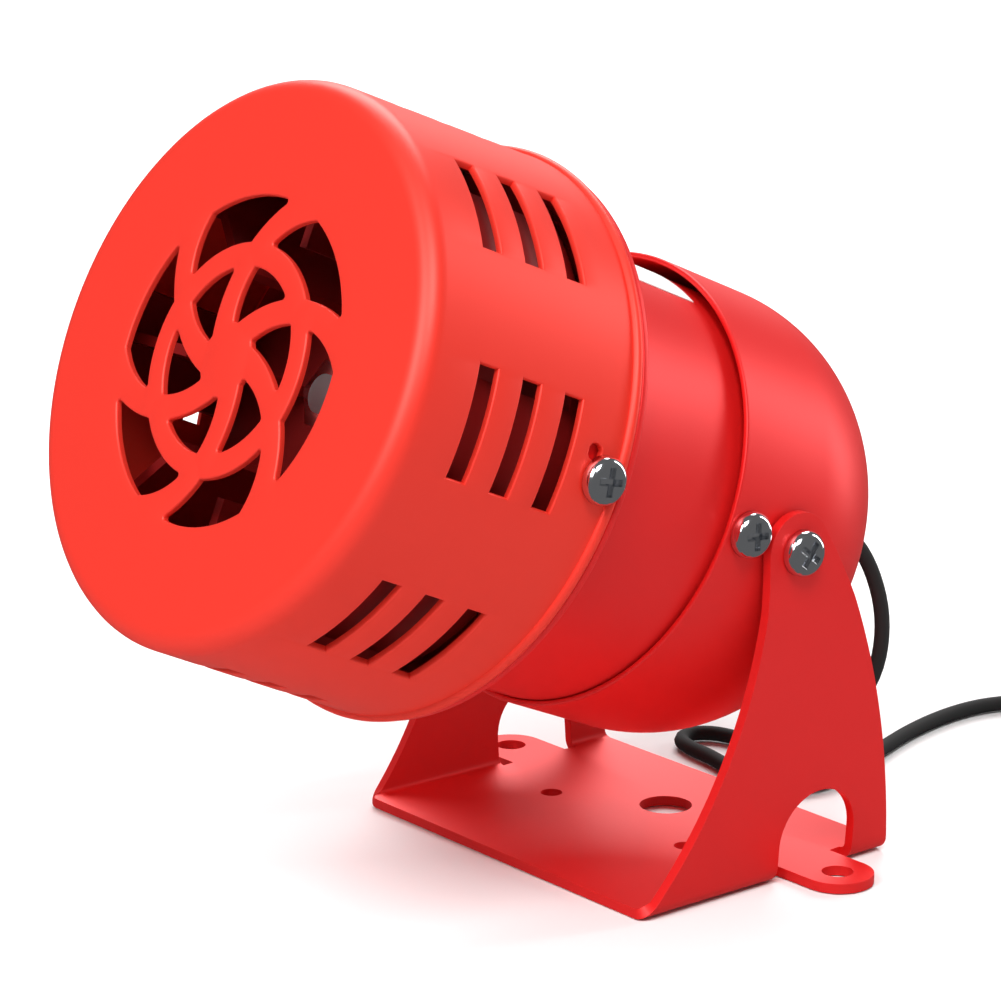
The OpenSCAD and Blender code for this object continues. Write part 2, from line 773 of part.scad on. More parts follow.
module commutator() {
    color([0.8, 0.45, 0.2]) head() translate([0, 0, commutator_z[0]])
        linear_extrude(commutator_z[1] - commutator_z[0]) difference() {
            circle(r = commutator_r);
            circle(d = shaft_d);
            for (bar = [0:armature_teeth - 1]) rotate((bar + 0.5) * 360 / armature_teeth)
                translate([commutator_r - 3 * bar_slit, -bar_slit / 2])
                    square([3 * bar_slit + cut, bar_slit]);
        }
}

module thrust_washers() {
    color([0.7, 0.7, 0.7]) head() {
        for (seat = [front_boss[1], rear_boss[1]])
            ring(thrust_r, shaft_d / 2, seat + 2 * play, seat + thrust_t);
    }
}

module siren_wheel() {
    window = 180 / wheel_windows;
    color([0.08, 0.08, 0.08]) head() translate([0, 0, wheel_plate_z]) {
        linear_extrude(wheel_plate_t) difference() {
            circle(r = wheel_r);
            circle(r = wheel_bore_r);
        }
        translate([0, 0, wheel_plate_t - eps]) linear_extrude(wheel_rim_h) union() {
            for (blade = [0:wheel_windows - 1]) rotate(blade * 2 * window) {
                intersection() {
                    difference() {
                        circle(r = wheel_r);
                        circle(r = wheel_r - wheel_wall_t);
                    }
                    sector(-window / 2, window / 2, wheel_r + cut);
                }
                translate([wheel_blade_r, -wheel_wall_t / 2])
                    square([wheel_r - wheel_blade_r - wheel_wall_t / 2, wheel_wall_t]);
            }
        }
    }
}

module wheel_hub() {
    color([0.75, 0.6, 0.3]) head() {
        ring(wheel_bore_r, shaft_d / 2, front_boss[1] + thrust_t, wheel_plate_z + hub_len);
        translate([0, 0, wheel_plate_z + wheel_plate_t])
            ring(hub_flange[0], wheel_bore_r - eps, 0, hub_flange[1]);
    }
}

module wheel_nut() {
    color([0.7, 0.7, 0.7]) head() translate([0, 0, wheel_plate_z + hub_len])
        hex_nut(wheel_nut_af, shaft_d, wheel_nut_h);
}

// Direction of a path at one of its points.
function along(path, i) =
    let (step = path[min(i + 1, len(path) - 1)] - path[max(i - 1, 0)]) step / norm(step);

// Corners of the ring around one point of a path.
function ring_at(path, i, radius) =
    let (
        dir = along(path, i),
        across = cross(dir, [0.2, 0.1, 1]),
        side = across / norm(across),
        up = cross(side, dir)
    )
    [for (k = [0:cord_sides - 1])
        path[i] + radius * (cos(360 * k / cord_sides) * side + sin(360 * k / cord_sides) * up)];

// A tube along a path, closed at both ends.
module path_tube(path, radius) {
    rings = len(path);
    points = [for (i = [0:rings - 1]) each ring_at(path, i, radius)];
    walls = [for (i = [0:rings - 2], k = [0:cord_sides - 1])
        let (a = i * cord_sides + k, b = i * cord_sides + (k + 1) % cord_sides)
        [a, b, b + cord_sides, a + cord_sides]];
    first = [for (k = [0:cord_sides - 1]) cord_sides - 1 - k];
    last = [for (k = [0:cord_sides - 1]) (rings - 1) * cord_sides + k];
    polyhedron(points, concat(walls, [first, last]));
}

module cord() {
    color([0.05, 0.05, 0.05]) path_tube(cord_route, cord_r);
}

module cord_coil() {
    color([0.05, 0.05, 0.05]) translate([coil_at[0], coil_at[1], 0]) rotate_extrude()
        translate([coil_r - cord_r, 0]) square([cord_d, coil_turns * cord_d]);
}

module cord_end() {
    color([0.05, 0.05, 0.05]) path_tube(end_route, cord_r);
}

module cord_cores() {
    color([0.7, 0.4, 0.2]) for (side = [-1, 1])
        translate(end_route[len(end_route) - 1] + [side * core_x, 0, 0]) rotate([-core_turn, 0, 0])
            cylinder(h = core_len, r = core_r);
}

bracket();
front_cap();
cap_screws();
motor_housing();
rear_cover();
cover_screws();
rating_label();
pivot_screws();
pivot_washers();
pivot_nuts();
front_shield();
rear_shield();
front_bush();
rear_bush();
stator_core();
field_coils();
tie_bolts();
tie_spacers();
tie_nuts();
brush_holders();
brushes();
brush_springs();
terminal_block();
inner_leads();
cord_grommet();
motor_shaft();
armature_core();
armature_windings();
commutator();
thrust_washers();
siren_wheel();
wheel_hub();
wheel_nut();
cord();
cord_coil();
cord_end();
cord_cores();
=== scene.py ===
"""Motor siren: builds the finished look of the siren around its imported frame."""

import json
import math

import bmesh
import bpy
from bpy.props import FloatProperty, FloatVectorProperty, IntProperty, PointerProperty
from mathutils import Matrix, Vector
from mathutils.geometry import intersect_sphere_sphere_2d


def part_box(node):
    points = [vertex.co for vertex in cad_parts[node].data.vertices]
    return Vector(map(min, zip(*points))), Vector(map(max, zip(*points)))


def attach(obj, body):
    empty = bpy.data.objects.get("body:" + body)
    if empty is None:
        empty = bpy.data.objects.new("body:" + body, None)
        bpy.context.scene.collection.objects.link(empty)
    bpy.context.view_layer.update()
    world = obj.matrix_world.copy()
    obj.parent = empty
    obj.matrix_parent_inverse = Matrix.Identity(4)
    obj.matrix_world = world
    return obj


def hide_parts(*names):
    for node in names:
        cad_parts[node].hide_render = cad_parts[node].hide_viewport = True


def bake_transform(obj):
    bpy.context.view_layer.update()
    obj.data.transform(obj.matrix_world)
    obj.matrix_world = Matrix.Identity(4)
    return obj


bl_info = {
    "name": "Motor siren",
    "version": (1, 0, 0),
    "blender": (4, 5, 0),
    "location": "3D View > Sidebar > Siren",
    "description": "Builds a small red motor siren in its stirrup bracket",
    "category": "Object",
}

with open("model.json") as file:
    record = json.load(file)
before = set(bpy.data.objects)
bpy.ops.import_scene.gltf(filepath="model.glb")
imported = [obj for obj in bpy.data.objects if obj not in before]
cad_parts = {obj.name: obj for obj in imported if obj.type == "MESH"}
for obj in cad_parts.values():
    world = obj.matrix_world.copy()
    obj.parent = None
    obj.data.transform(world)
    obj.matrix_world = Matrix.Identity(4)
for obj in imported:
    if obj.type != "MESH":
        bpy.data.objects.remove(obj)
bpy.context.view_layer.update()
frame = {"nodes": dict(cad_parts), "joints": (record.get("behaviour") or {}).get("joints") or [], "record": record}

MM = 0.001
TINY = 1e-6
JOINTS = {joint["name"]: joint for joint in frame["joints"]}
PIVOT = Vector(JOINTS["head_tilt"]["pos_m"])
FORWARD = Vector(JOINTS["rotor_spin"]["axis"]).normalized()
ACROSS = Vector((1, 0, 0))
UPWARD = FORWARD.cross(ACROSS)

# Takes the head's own axes, x along the pivot, y up and z forward, into the frame.
HEAD = Matrix.Translation(PIVOT) @ Matrix((ACROSS, UPWARD, FORWARD)).transposed().to_4x4()


def span(node, axis):
    """Size of a frame node along one axis, in metres."""
    low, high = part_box(node)
    return high[axis] - low[axis]


def length(name, description, millimetres):
    """A size in metres, with its default given in millimetres."""
    return FloatProperty(
        name=name,
        description=description,
        default=millimetres * MM,
        min=0.0,
        precision=5,
        unit="LENGTH",
    )


def colour(name, description, value):
    """A colour that the panel shows as a swatch."""
    return FloatVectorProperty(
        name=name, description=description, default=value, size=3, min=0.0, max=1.0, subtype="COLOR"
    )


class SirenBracketSizes(bpy.types.PropertyGroup):
    """Sizes of the stirrup bracket."""

    width: length("Width", "Outer width across the base", 70.0)
    depth: length("Depth", "Size from front to back", span("bracket", 1) / MM)
    sheet: length("Sheet", "Thickness of the steel sheet", 1.6)
    bend: length("Bend", "Outer radius of the bends", 2.6)
    arm_top: length("Arm tops", "Distance of the arms' outer faces from the middle", 38.5)
    straight: length("Straight top", "Straight part of the arms below the tilt axis", 9.0)
    lug: length("Lug", "Radius of the round arm ends", 6.1)
    front_arc: length("Front arc", "Radius of the arms' hollow front edge", 73.0)
    back_arc: length("Back arc", "Radius of the arms' rounded back edge", 124.0)
    row: length("Hole row", "Distance of the hole row behind the middle", 9.6)
    arch: length("Arch", "Radius of the arch over each foot", 8.0)
    arch_top: length("Arch height", "Height of the arch over each foot", 13.8)
    foot_width: length("Foot width", "Width of the folded-out feet", 11.4)
    foot_reach: length("Foot reach", "Reach of the feet beyond the base", 10.7)
    foot_hole: length("Foot hole", "Diameter of the hole in each foot", 5.0)
    centre_hole: length("Centre hole", "Diameter of the large hole", 8.6)
    small_hole: length("Small holes", "Diameter of the two small holes", 3.6)
    small_gap: length("Small hole spacing", "Distance between the small holes", 33.0)
    edge: length("Edge", "Radius of the coated sheet edges", 0.35)


class SirenHeadSizes(bpy.types.PropertyGroup):
    """Sizes of the siren head, measured along its shaft from the tilt axis."""

    tube: length("Tube", "Outer radius of the motor housing", 34.8)
    sheet: length("Sheet", "Thickness of the drawn sheet", 1.0)
    flange: length("Flange", "Radius of the housing flange", 44.2)
    flange_at: length("Flange station", "Back face of the flange", 43.1)
    flange_sheet: length("Flange thickness", "Thickness of the flange", 1.2)
    skirt: length("Skirt", "Radius of the skirt inside the cap", 42.4)
    skirt_end: length("Skirt end", "Front end of the skirt", 51.8)
    cap_at: length("Cap station", "Open rim of the front cap", 44.5)
    cap_depth: length("Cap depth", "Depth of the front cap", 40.0)
    cap_rim: length("Cap rim", "Radius of the cap at its rim", 43.9)
    cap_face: length("Cap face", "Radius of the cap at its face", 42.7)
    cap_edge: length("Cap edge", "Radius of the rounded face edge", 3.0)
    cap_bead: length("Cap bead", "Radius of the bead around the rim", 0.8)
    cover: length("Cover", "Outer radius of the rear cover", 36.6)
    cover_front: length("Cover rim", "Rim of the cover ahead of the tilt axis", 14.0)
    cover_back: length("Cover end", "End of the cover behind the tilt axis", 32.0)
    cover_flat: length("Cover flat", "Radius of the cover's flat end", 8.6)
    cover_lift: length("Cover lift", "Height of the cover's axis over the shaft", 0.8)
    cover_sheet: length("Cover sheet", "Thickness of the cover", 0.9)
    edge: length("Edge", "Radius of the coated cut edges", 0.3)


class SirenGrilleSizes(bpy.types.PropertyGroup):
    """Sizes of the openings in the front cap."""

    inlet: length("Inlet", "Outer radius of the air inlet", 24.6)
    ring: length("Ring", "Radius of the grille's middle ring", 15.8)
    ring_width: length("Ring width", "Width of the grille's middle ring", 3.6)
    hub: length("Hub", "Radius of the grille's boss", 5.6)
    bars: IntProperty(name="Bars", description="Curved bars in the grille", default=6)
    groups: IntProperty(name="Slot groups", description="Groups of slots", default=8)
    in_group: IntProperty(name="Slots", description="Slots in one group", default=3)
    slot_width: length("Slot width", "Width of one slot", 3.4)
    slot_pitch: length("Slot pitch", "Distance between neighbouring slots", 8.0)
    slot_angle: IntProperty(name="Slot angle", description="Degrees one slot covers", default=22)
    slot_start: IntProperty(name="Slot start", description="Degrees of the first group", default=2)


class SirenScrewSizes(bpy.types.PropertyGroup):
    """Sizes of the pan-head screws."""

    shank: length("Shank", "Diameter of the shank", 4.0)
    head: length("Head", "Diameter of the head", 7.2)
    head_height: length("Head height", "Height of the head", 2.4)
    recess: length("Recess", "Length of the cross recess", 4.3)
    recess_width: length("Recess width", "Width of the recess wings", 1.15)
    cap_station: length("Cap screws", "Station of the cap screws on the shaft", 48.4)
    cover_station: length("Cover screws", "Station of the cover screws on the shaft", 9.9)


class SirenLeadSizes(bpy.types.PropertyGroup):
    """Sizes of the lead."""

    diameter: length("Diameter", "Diameter of the lead", 2.6)
    coil: length("Coil", "Radius of the coil at the middle of its turns", 15.0)
    core: length("Core", "Radius of a core over its jacket", 0.55)
    jacket: length("Core jacket", "Length of a core's jacket", 3.0)
    strand: length("Strand", "Length of the tinned strands", 3.48)


class SirenColours(bpy.types.PropertyGroup):
    """Colours of the finishes."""

    body: colour("Body enamel", "Gloss enamel of bracket, housing and cover", (0.78, 0.0016, 0.0012))
    cap: colour("Cap enamel", "Satin enamel of the front cap", (0.88, 0.018, 0.011))
    zinc: colour("Zinc", "Bright plated screws", (0.86, 0.88, 0.93))
    label: colour("Label", "Film of the rating label", (0.86, 0.86, 0.84))
    jacket: colour("Lead jacket", "Smooth jacket of the lead", (0.008, 0.008, 0.009))
    # Red is the wheel's assumed paint; its dark tone is painted shade standing in for the dim inside of the cap
    wheel: colour("Wheel enamel", "Dark red enamel of the siren wheel", (0.30, 0.006, 0.006))
    floor: colour("Floor", "Pale floor", (0.93, 0.93, 0.93))


class SirenProperties(bpy.types.PropertyGroup):
    """Everything a user of the siren can change."""

    bracket: PointerProperty(type=SirenBracketSizes)
    head: PointerProperty(type=SirenHeadSizes)
    grille: PointerProperty(type=SirenGrilleSizes)
    screws: PointerProperty(type=SirenScrewSizes)
    lead: PointerProperty(type=SirenLeadSizes)
    colours: PointerProperty(type=SirenColours)


# ---------------------------------------------------------------- finishes


class Finish:
    """A Principled material whose pattern follows the object's own coordinates."""

    def __init__(self, name, **constants):
        self.material = bpy.data.materials.new(name)
        self.material.use_nodes = True
        self.nodes = self.material.node_tree.nodes
        self.links = self.material.node_tree.links
        self.shader = self.nodes["Principled BSDF"]
        for socket, value in constants.items():
            self.shader.inputs[socket.replace("_", " ")].default_value = value
        self.place = self.nodes.new("ShaderNodeTexCoord").outputs["Object"]

    def node(self, kind, inputs=(), **settings):
        """A new node with its inputs linked or set."""
        node = self.nodes.new(kind)
        for key, value in settings.items():
            setattr(node, key, value)
        for socket, value in dict(inputs).items():
            if isinstance(value, bpy.types.NodeSocket):
                self.links.new(value, node.inputs[socket])
            else:
                node.inputs[socket].default_value = value
        return node

    def noise(self, scale, detail=2.0, stretch=None):
        """Noise over the object, from 0 to 1."""
        place = self.place
        if stretch:
            place = self.node("ShaderNodeMapping", {"Vector": place, "Scale": stretch}).outputs[0]
        inputs = {"Vector": place, "Scale": scale, "Detail": detail}
        return self.node("ShaderNodeTexNoise", inputs).outputs["Fac"]

    def between(self, value, low, high, start=0.3, end=0.7):
        """The value mapped from start and end to low and high."""
        ends = {"From Min": start, "From Max": end, "To Min": low, "To Max": high}
        return self.node("ShaderNodeMapRange", {"Value": value, **ends}).outputs[0]

    def mixed(self, share, first, second):
        """The first colour, or as the share grows more of the second."""
        mix = self.node("ShaderNodeMix", data_type="RGBA")
        for socket, value in (("A", first), ("B", second)):
            target = [s for s in mix.inputs if s.name == socket and s.type == "RGBA"][0]
            if isinstance(value, bpy.types.NodeSocket):
                self.links.new(value, target)
            else:
                target.default_value = (*value, 1.0)
        factor = [s for s in mix.inputs if s.name == "Factor" and s.type == "VALUE"][0]
        self.links.new(share, factor)
        return [s for s in mix.outputs if s.type == "RGBA"][0]

    def tint(self, share, first, second):
        """Gives the base colour."""
        self.links.new(self.mixed(share, first, second), self.shader.inputs["Base Color"])

    def rough(self, value, low, high):
        """Gives the roughness."""
        self.links.new(self.between(value, low, high), self.shader.inputs["Roughness"])

    def relief(self, height, strength, depth):
        """Gives the surface its grain, with the depth in metres."""
        inputs = {"Height": height, "Strength": strength, "Distance": depth}
        bump = self.node("ShaderNodeBump", inputs)
        self.links.new(bump.outputs[0], self.shader.inputs["Normal"])


def shade(value, factor):
    """A lighter or darker colour."""
    return tuple(min(1.0, channel * factor) for channel in value)


def gloss_enamel(name, tone):
    """Stove enamel under a clear gloss."""
    finish = Finish(name, Coat_Weight=0.8, Coat_Roughness=0.03, Specular_IOR_Level=0.2)
    mottle = finish.noise(60.0, 3.0)
    finish.tint(mottle, shade(tone, 0.93), shade(tone, 1.06))
    finish.rough(finish.noise(180.0, 4.0), 0.20, 0.30)
    finish.relief(finish.noise(520.0, 1.0), 0.05, 0.0002)
    return finish.material


def satin_enamel(name, tone):
    """Sprayed enamel with a fine orange-peel grain."""
    finish = Finish(name, Coat_Weight=0.2, Coat_Roughness=0.22, Specular_IOR_Level=0.35)
    mottle = finish.noise(45.0, 3.0)
    finish.tint(mottle, shade(tone, 0.95), shade(tone, 1.05))
    finish.rough(finish.noise(220.0, 4.0), 0.36, 0.46)
    finish.relief(finish.noise(900.0, 2.0), 0.06, 0.0002)
    return finish.material


def plated(name, tone):
    """Bright plating with slight clouding."""
    finish = Finish(name, Metallic=0.35)
    finish.tint(finish.noise(350.0, 3.0), shade(tone, 0.9), shade(tone, 1.05))
    finish.rough(finish.noise(900.0, 3.0), 0.2, 0.32)
    finish.relief(finish.noise(1500.0, 2.0), 0.05, 0.0001)
    return finish.material


def turned(name, tone, smooth):
    """Metal with fine marks that run round the shaft."""
    finish = Finish(name, Metallic=1.0)
    marks = finish.noise(400.0, 4.0, stretch=(0.3, 2.5, 2.5))
    finish.tint(marks, shade(tone, 0.8), shade(tone, 1.08))
    finish.rough(marks, smooth, smooth + 0.2)
    finish.relief(marks, 0.12, 0.0001)
    return finish.material


def cast(name, tone):
    """Metal with the grain of its mould."""
    finish = Finish(name, Metallic=0.9)
    grain = finish.noise(700.0, 5.0)
    finish.tint(grain, shade(tone, 0.75), shade(tone, 1.1))
    finish.rough(grain, 0.42, 0.66)
    finish.relief(grain, 0.35, 0.0003)
    return finish.material


def wound(name, tone):
    """Varnished wire, laid turn beside turn."""
    finish = Finish(name, Metallic=0.6, Coat_Weight=0.5, Coat_Roughness=0.15)
    wave = finish.node(
        "ShaderNodeTexWave",
        {"Vector": finish.place, "Scale": 320.0, "Distortion": 1.2, "Detail": 1.0},
        bands_direction="X",
    ).outputs["Fac"]
    finish.tint(wave, shade(tone, 0.45), shade(tone, 1.15))
    finish.rough(wave, 0.30, 0.48)
    finish.relief(wave, 0.5, 0.0003)
    return finish.material


def laminated(name, tone):
    """Stacked sheets, seen as fine bands along the shaft."""
    finish = Finish(name, Metallic=0.9)
    turn = finish.node(
        "ShaderNodeMapping",
        {"Vector": finish.place, "Rotation": (math.radians(-66.5), 0.0, 0.0)},
    ).outputs[0]
    bands = finish.node(
        "ShaderNodeTexWave", {"Vector": turn, "Scale": 160.0, "Detail": 0.5}, bands_direction="Z"
    ).outputs["Fac"]
    finish.tint(bands, shade(tone, 0.6), shade(tone, 1.1))
    finish.rough(bands, 0.35, 0.55)
    finish.relief(bands, 0.4, 0.0002)
    return finish.material


def moulded(name, tone, low, high, sheen=0.0):
    """Resin, fibre or rubber, with its roughness between low and high."""
    finish = Finish(name, Sheen_Weight=sheen)
    grain = finish.noise(1100.0, 3.0)
    finish.tint(finish.noise(160.0, 3.0), shade(tone, 0.8), shade(tone, 1.25))
    finish.rough(grain, low, high)
    finish.relief(grain, 0.12, 0.0001)
    return finish.material


def printed_label(name, tone):
    """White film with plain grey bars where a label has its lines."""
    finish = Finish(name, Coat_Weight=0.4, Coat_Roughness=0.1)
    corner = finish.nodes.new("ShaderNodeTexCoord").outputs["UV"]
    rows = finish.node(
        "ShaderNodeTexBrick",
        {
            "Vector": corner,
            "Color1": (1.0, 1.0, 1.0, 1.0),
            "Color2": (1.0, 1.0, 1.0, 1.0),
            "Mortar": (0.0, 0.0, 0.0, 1.0),
            "Scale": 5.0,
            "Mortar Size": 0.055,
            "Mortar Smooth": 0.1,
            "Brick Width": 1.9,
            "Row Height": 1.0,
        },
        offset=0.37,
    ).outputs["Color"]
    speck = finish.between(finish.noise(420.0, 2.0), 0.25, 1.0, 0.42, 0.6)
    inked = finish.mixed(speck, (0.42, 0.47, 0.44), tone)
    finish.tint(rows, (0.20, 0.22, 0.22), inked)
    finish.rough(finish.noise(500.0, 2.0), 0.30, 0.42)
    finish.relief(finish.noise(600.0, 1.0), 0.04, 0.0001)
    return finish.material


def finishes():
    """The material of every slot, made once."""
    tones = bpy.context.scene.siren.colours
    makers = {
        "red_gloss_enamel": lambda n: gloss_enamel(n, tones.body),
        "red_cap_enamel": lambda n: satin_enamel(n, tones.cap),
        "zinc_plate": lambda n: plated(n, tones.zinc),
        "white_label": lambda n: printed_label(n, tones.label),
        "black_fibre": lambda n: moulded(n, (0.03, 0.03, 0.03), 0.5, 0.7),
        "cast_alloy": lambda n: cast(n, (0.55, 0.55, 0.56)),
        "sintered_bronze": lambda n: cast(n, (0.62, 0.42, 0.2)),
        "core_steel": lambda n: laminated(n, (0.34, 0.34, 0.36)),
        "enamelled_wire": lambda n: wound(n, (0.6, 0.22, 0.08)),
        "brown_resin": lambda n: moulded(n, (0.16, 0.07, 0.035), 0.25, 0.4),
        "carbon": lambda n: moulded(n, (0.045, 0.045, 0.05), 0.4, 0.6),
        "spring_steel": lambda n: turned(n, (0.6, 0.6, 0.63), 0.2),
        "cream_resin": lambda n: moulded(n, (0.78, 0.72, 0.58), 0.3, 0.45),
        "black_cord": lambda n: moulded(n, tones.jacket, 0.22, 0.34),
        "black_rubber": lambda n: moulded(n, (0.014, 0.014, 0.014), 0.4, 0.6, 0.1),
        "ground_steel": lambda n: turned(n, (0.66, 0.67, 0.69), 0.14),
        "copper": lambda n: turned(n, (0.75, 0.36, 0.18), 0.18),
        # The wheel's red is its paint; the darkness of this red is painted shade for the dim inside of the cap
        "dark_red_enamel": lambda n: satin_enamel(n, tones.wheel),
        "tinned_copper": lambda n: turned(n, (0.74, 0.66, 0.56), 0.2),
    }
    for name, make in makers.items():
        if name not in bpy.data.materials:
            make(name)
    return {name: bpy.data.materials[name] for name in makers}


# ---------------------------------------------------------------- shapes


def piece(bm, name, body, slot_name, replaced=(), place=None, sharp=40.0):
    """Makes a riding piece of a mesh, with its object at the origin."""
    if place is not None:
        bmesh.ops.transform(bm, matrix=place, verts=bm.verts)
    for face in bm.faces:
        face.smooth = True
    limit = math.radians(sharp)
    for edge in bm.edges:
        if len(edge.link_faces) == 2 and edge.calc_face_angle(0.0) > limit:
            edge.smooth = False
    mesh = bpy.data.meshes.new(name)
    bm.to_mesh(mesh)
    bm.free()
    made = bpy.data.objects.new(name, mesh)
    bpy.context.scene.collection.objects.link(made)
    mesh.materials.append(finishes()[slot_name])
    if body:
        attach(made, body)
    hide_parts(*replaced)
    return made


def arc(centre, radius, first, last, steps):
    """Points on an arc between two angles in degrees, both ends included."""
    angles = [math.radians(first + (last - first) * k / steps) for k in range(steps + 1)]
    return [
        (centre[0] + radius * math.cos(a), centre[1] + radius * math.sin(a)) for a in angles
    ]


def lathe(bm, outline, steps, closed=True, centre=(0.0, 0.0)):
    """Spins an outline of (radius, station) points round the z axis."""
    verts = [bm.verts.new((r, 0.0, z)) for r, z in outline]
    pairs = list(zip(verts, verts[1:]))
    if closed:
        pairs.append((verts[-1], verts[0]))
    edges = [bm.edges.new(pair) for pair in pairs]
    bmesh.ops.spin(
        bm,
        geom=verts + edges,
        cent=(0.0, 0.0, 0.0),
        axis=(0.0, 0.0, 1.0),
        angle=math.tau,
        steps=steps,
        use_merge=True,
    )
    bmesh.ops.remove_doubles(bm, verts=bm.verts, dist=TINY)
    if centre != (0.0, 0.0):
        bmesh.ops.translate(bm, verts=bm.verts, vec=(*centre, 0.0))
    bmesh.ops.recalc_face_normals(bm, faces=bm.faces)


def outline_edges(bm, points):
    """The edges of a closed outline through (x, y, z) points."""
    verts = [bm.verts.new(point) for point in points]
    return [bm.edges.new(pair) for pair in zip(verts, verts[1:] + verts[:1])]


def loop_face(bm, points, height):
    """A face bounded by a closed outline, looking along +z."""
    face = bm.faces.new([bm.verts.new((x, y, height)) for x, y in points])
    face.normal_update()
    if face.normal.z < 0:
        face.normal_flip()
    return face


def fill_plate(bm, edges):
    """Fills the flat plate between closed outlines, leaving the holes open."""
    made = bmesh.ops.triangle_fill(
        bm, edges=edges, use_beauty=True, use_dissolve=False, normal=(0.0, 0.0, 1.0)
    )
    if not made["geom"]:
        raise RuntimeError("a plate can't be closed")


def harden(made, width, segments, limit):
    """Rounds the edges of a piece that turn by more than the limit in degrees."""
    bevel = made.modifiers.new("Rounded edges", "BEVEL")
    bevel.width = width
    bevel.segments = segments
    bevel.profile = 0.5
    bevel.limit_method = "ANGLE"
    bevel.angle_limit = math.radians(limit)
    bevel.harden_normals = True
    bevel.use_clamp_overlap = True


# ---------------------------------------------------------------- camera and stage


class SIREN_OT_view(bpy.types.Operator):
    """Set up the camera"""

    bl_idname = "siren.view"
    bl_label = "Camera"

    def execute(self, context):
        data = bpy.data.cameras.new("view")
        data.lens, data.sensor_width = 125.9, 36.0
        data.clip_start, data.clip_end = 0.01, 50.0
        camera = bpy.data.objects.new("view", data)
        context.scene.collection.objects.link(camera)
        azimuth, elevation, distance = math.radians(50.87), math.radians(14.42), 0.568
        target = Vector((-0.0226, -0.0069, 0.0512))
        level = Vector((math.sin(azimuth), -math.cos(azimuth), 0.0)) * math.cos(elevation)
        back = level + Vector((0.0, 0.0, math.sin(elevation)))
        camera.location = target + back * distance
        camera.rotation_euler = back.to_track_quat("Z", "Y").to_euler()
        context.scene.camera = camera
        return {"FINISHED"}


def soft_box(name, place, aim, size, power):
    """A rectangular studio light that looks at a point."""
    data = bpy.data.lights.new(name, "AREA")
    data.shape = "RECTANGLE"
    data.size, data.size_y = size
    data.energy = power
    lamp = bpy.data.objects.new(name, data)
    lamp.location = place
    lamp.rotation_euler = (Vector(place) - Vector(aim)).to_track_quat("Z", "Y").to_euler()
    bpy.context.scene.collection.objects.link(lamp)


class SIREN_OT_stage(bpy.types.Operator):
    """Add the pale floor, the sky and the soft studio lights"""

    bl_idname = "siren.stage"
    bl_label = "Stage"

    def execute(self, context):
        scene = context.scene
        bm = bmesh.new()
        bmesh.ops.create_grid(bm, x_segments=4, y_segments=4, size=6.0)
        bmesh.ops.translate(bm, verts=bm.verts, vec=(0.0, 0.0, -0.0002))
        mesh = bpy.data.meshes.new("floor")
        bm.to_mesh(mesh)
        bm.free()
        floor = bpy.data.objects.new("floor", mesh)
        scene.collection.objects.link(floor)
        paper = Finish("floor_paper", Roughness=0.75)
        tone = scene.siren.colours.floor
        paper.tint(paper.noise(3.0, 4.0), shade(tone, 0.985), shade(tone, 1.0))
        mesh.materials.append(paper.material)
        floor.visible_glossy = False

        world = bpy.data.worlds.new("studio")
        world.use_nodes = True
        sky = world.node_tree.nodes["Background"]
        sky.inputs["Color"].default_value = (1.0, 1.0, 1.0, 1.0)
        sky.inputs["Strength"].default_value = 0.12
        scene.world = world
        scene.view_settings.view_transform = "Standard"

        aim = (0.0, 0.0, 0.06)
        soft_box("key", (0.10, -1.20, 1.00), aim, (0.8, 0.8), 17.0)
        soft_box("top", (0.70, -0.45, 1.20), aim, (0.6, 0.6), 14.0)
        soft_box("rim", (0.30, 1.10, 0.30), aim, (0.14, 0.9), 5.0)
        soft_box("back", (-1.25, 1.0, 0.5), aim, (1.5, 0.6), 1.0)
        soft_box("far", (-1.3, 1.1, 1.5), (-1.1, 0.9, 0.0), (1.6, 1.6), 52.0)
        return {"FINISHED"}


# ---------------------------------------------------------------- lead


ROUTE_MM = (
    (0, 41, 44.3), (0.3, 44, 43.6), (1.5, 47.5, 41.8), (3.2, 50, 38.5), (4.8, 51.5, 34),
    (6.2, 52, 29), (7, 51.6, 24), (7, 50.5, 19), (5.5, 49, 14), (2, 47.3, 9), (-3.2, 45.6, 4.8),
    (-9, 44.4, 2), (-14.5, 43.4, 1.3), (-19.5, 42.8, 1.3), (-23.6, 41.2, 1.3),
    (-25.5, 38, 1.3), (-23.9, 34.6, 1.3), (-19.8, 33.1, 1.3), (-14, 32.4, 1.3),
    (-7.6, 31, 1.3), (-1.6, 30, 1.3), (3.6, 31, 1.3), (6.9, 34.6, 1.3), (7.4, 40, 1.3),
    (5.8, 46.5, 1.3), (3.2, 53.2, 1.3), (0.6, 60, 1.3), (-1.8, 67, 1.3), (-3.7, 74.4, 1.3),
    (-4.8, 82, 1.3), (-4.6, 89, 1.3), (-2.6, 95, 1.3), (0.6, 99.6, 1.3),
)  # fmt: skip
COIL_CENTRE_MM = (17.5, 104.0)
END_MM = ((-0.4, 108, 3.2), (-0.6, 112, 2.1), (-0.8, 115.4, 1.5))


def eased(value, start, end):
    """0 before start, 1 after end, and a smooth step between them."""
    share = min(1.0, max(0.0, (value - start) / (end - start)))
    return share * share * (3.0 - 2.0 * share)


def coil_points(sizes):
    """Two turns, clockwise from the left; the second lies on the first and slips off outwards."""
    step = sizes.diameter / MM
    points = []
    for angle in range(0, 721, 15):
        radius = sizes.coil / MM + eased(angle, 600, 700) * (step + 0.2)
        ring = arc(COIL_CENTRE_MM, radius, 180 - angle, 180 - angle, 1)[0]
        points.append((*ring, step / 2 + eased(angle, 300, 360) * step))
    return points


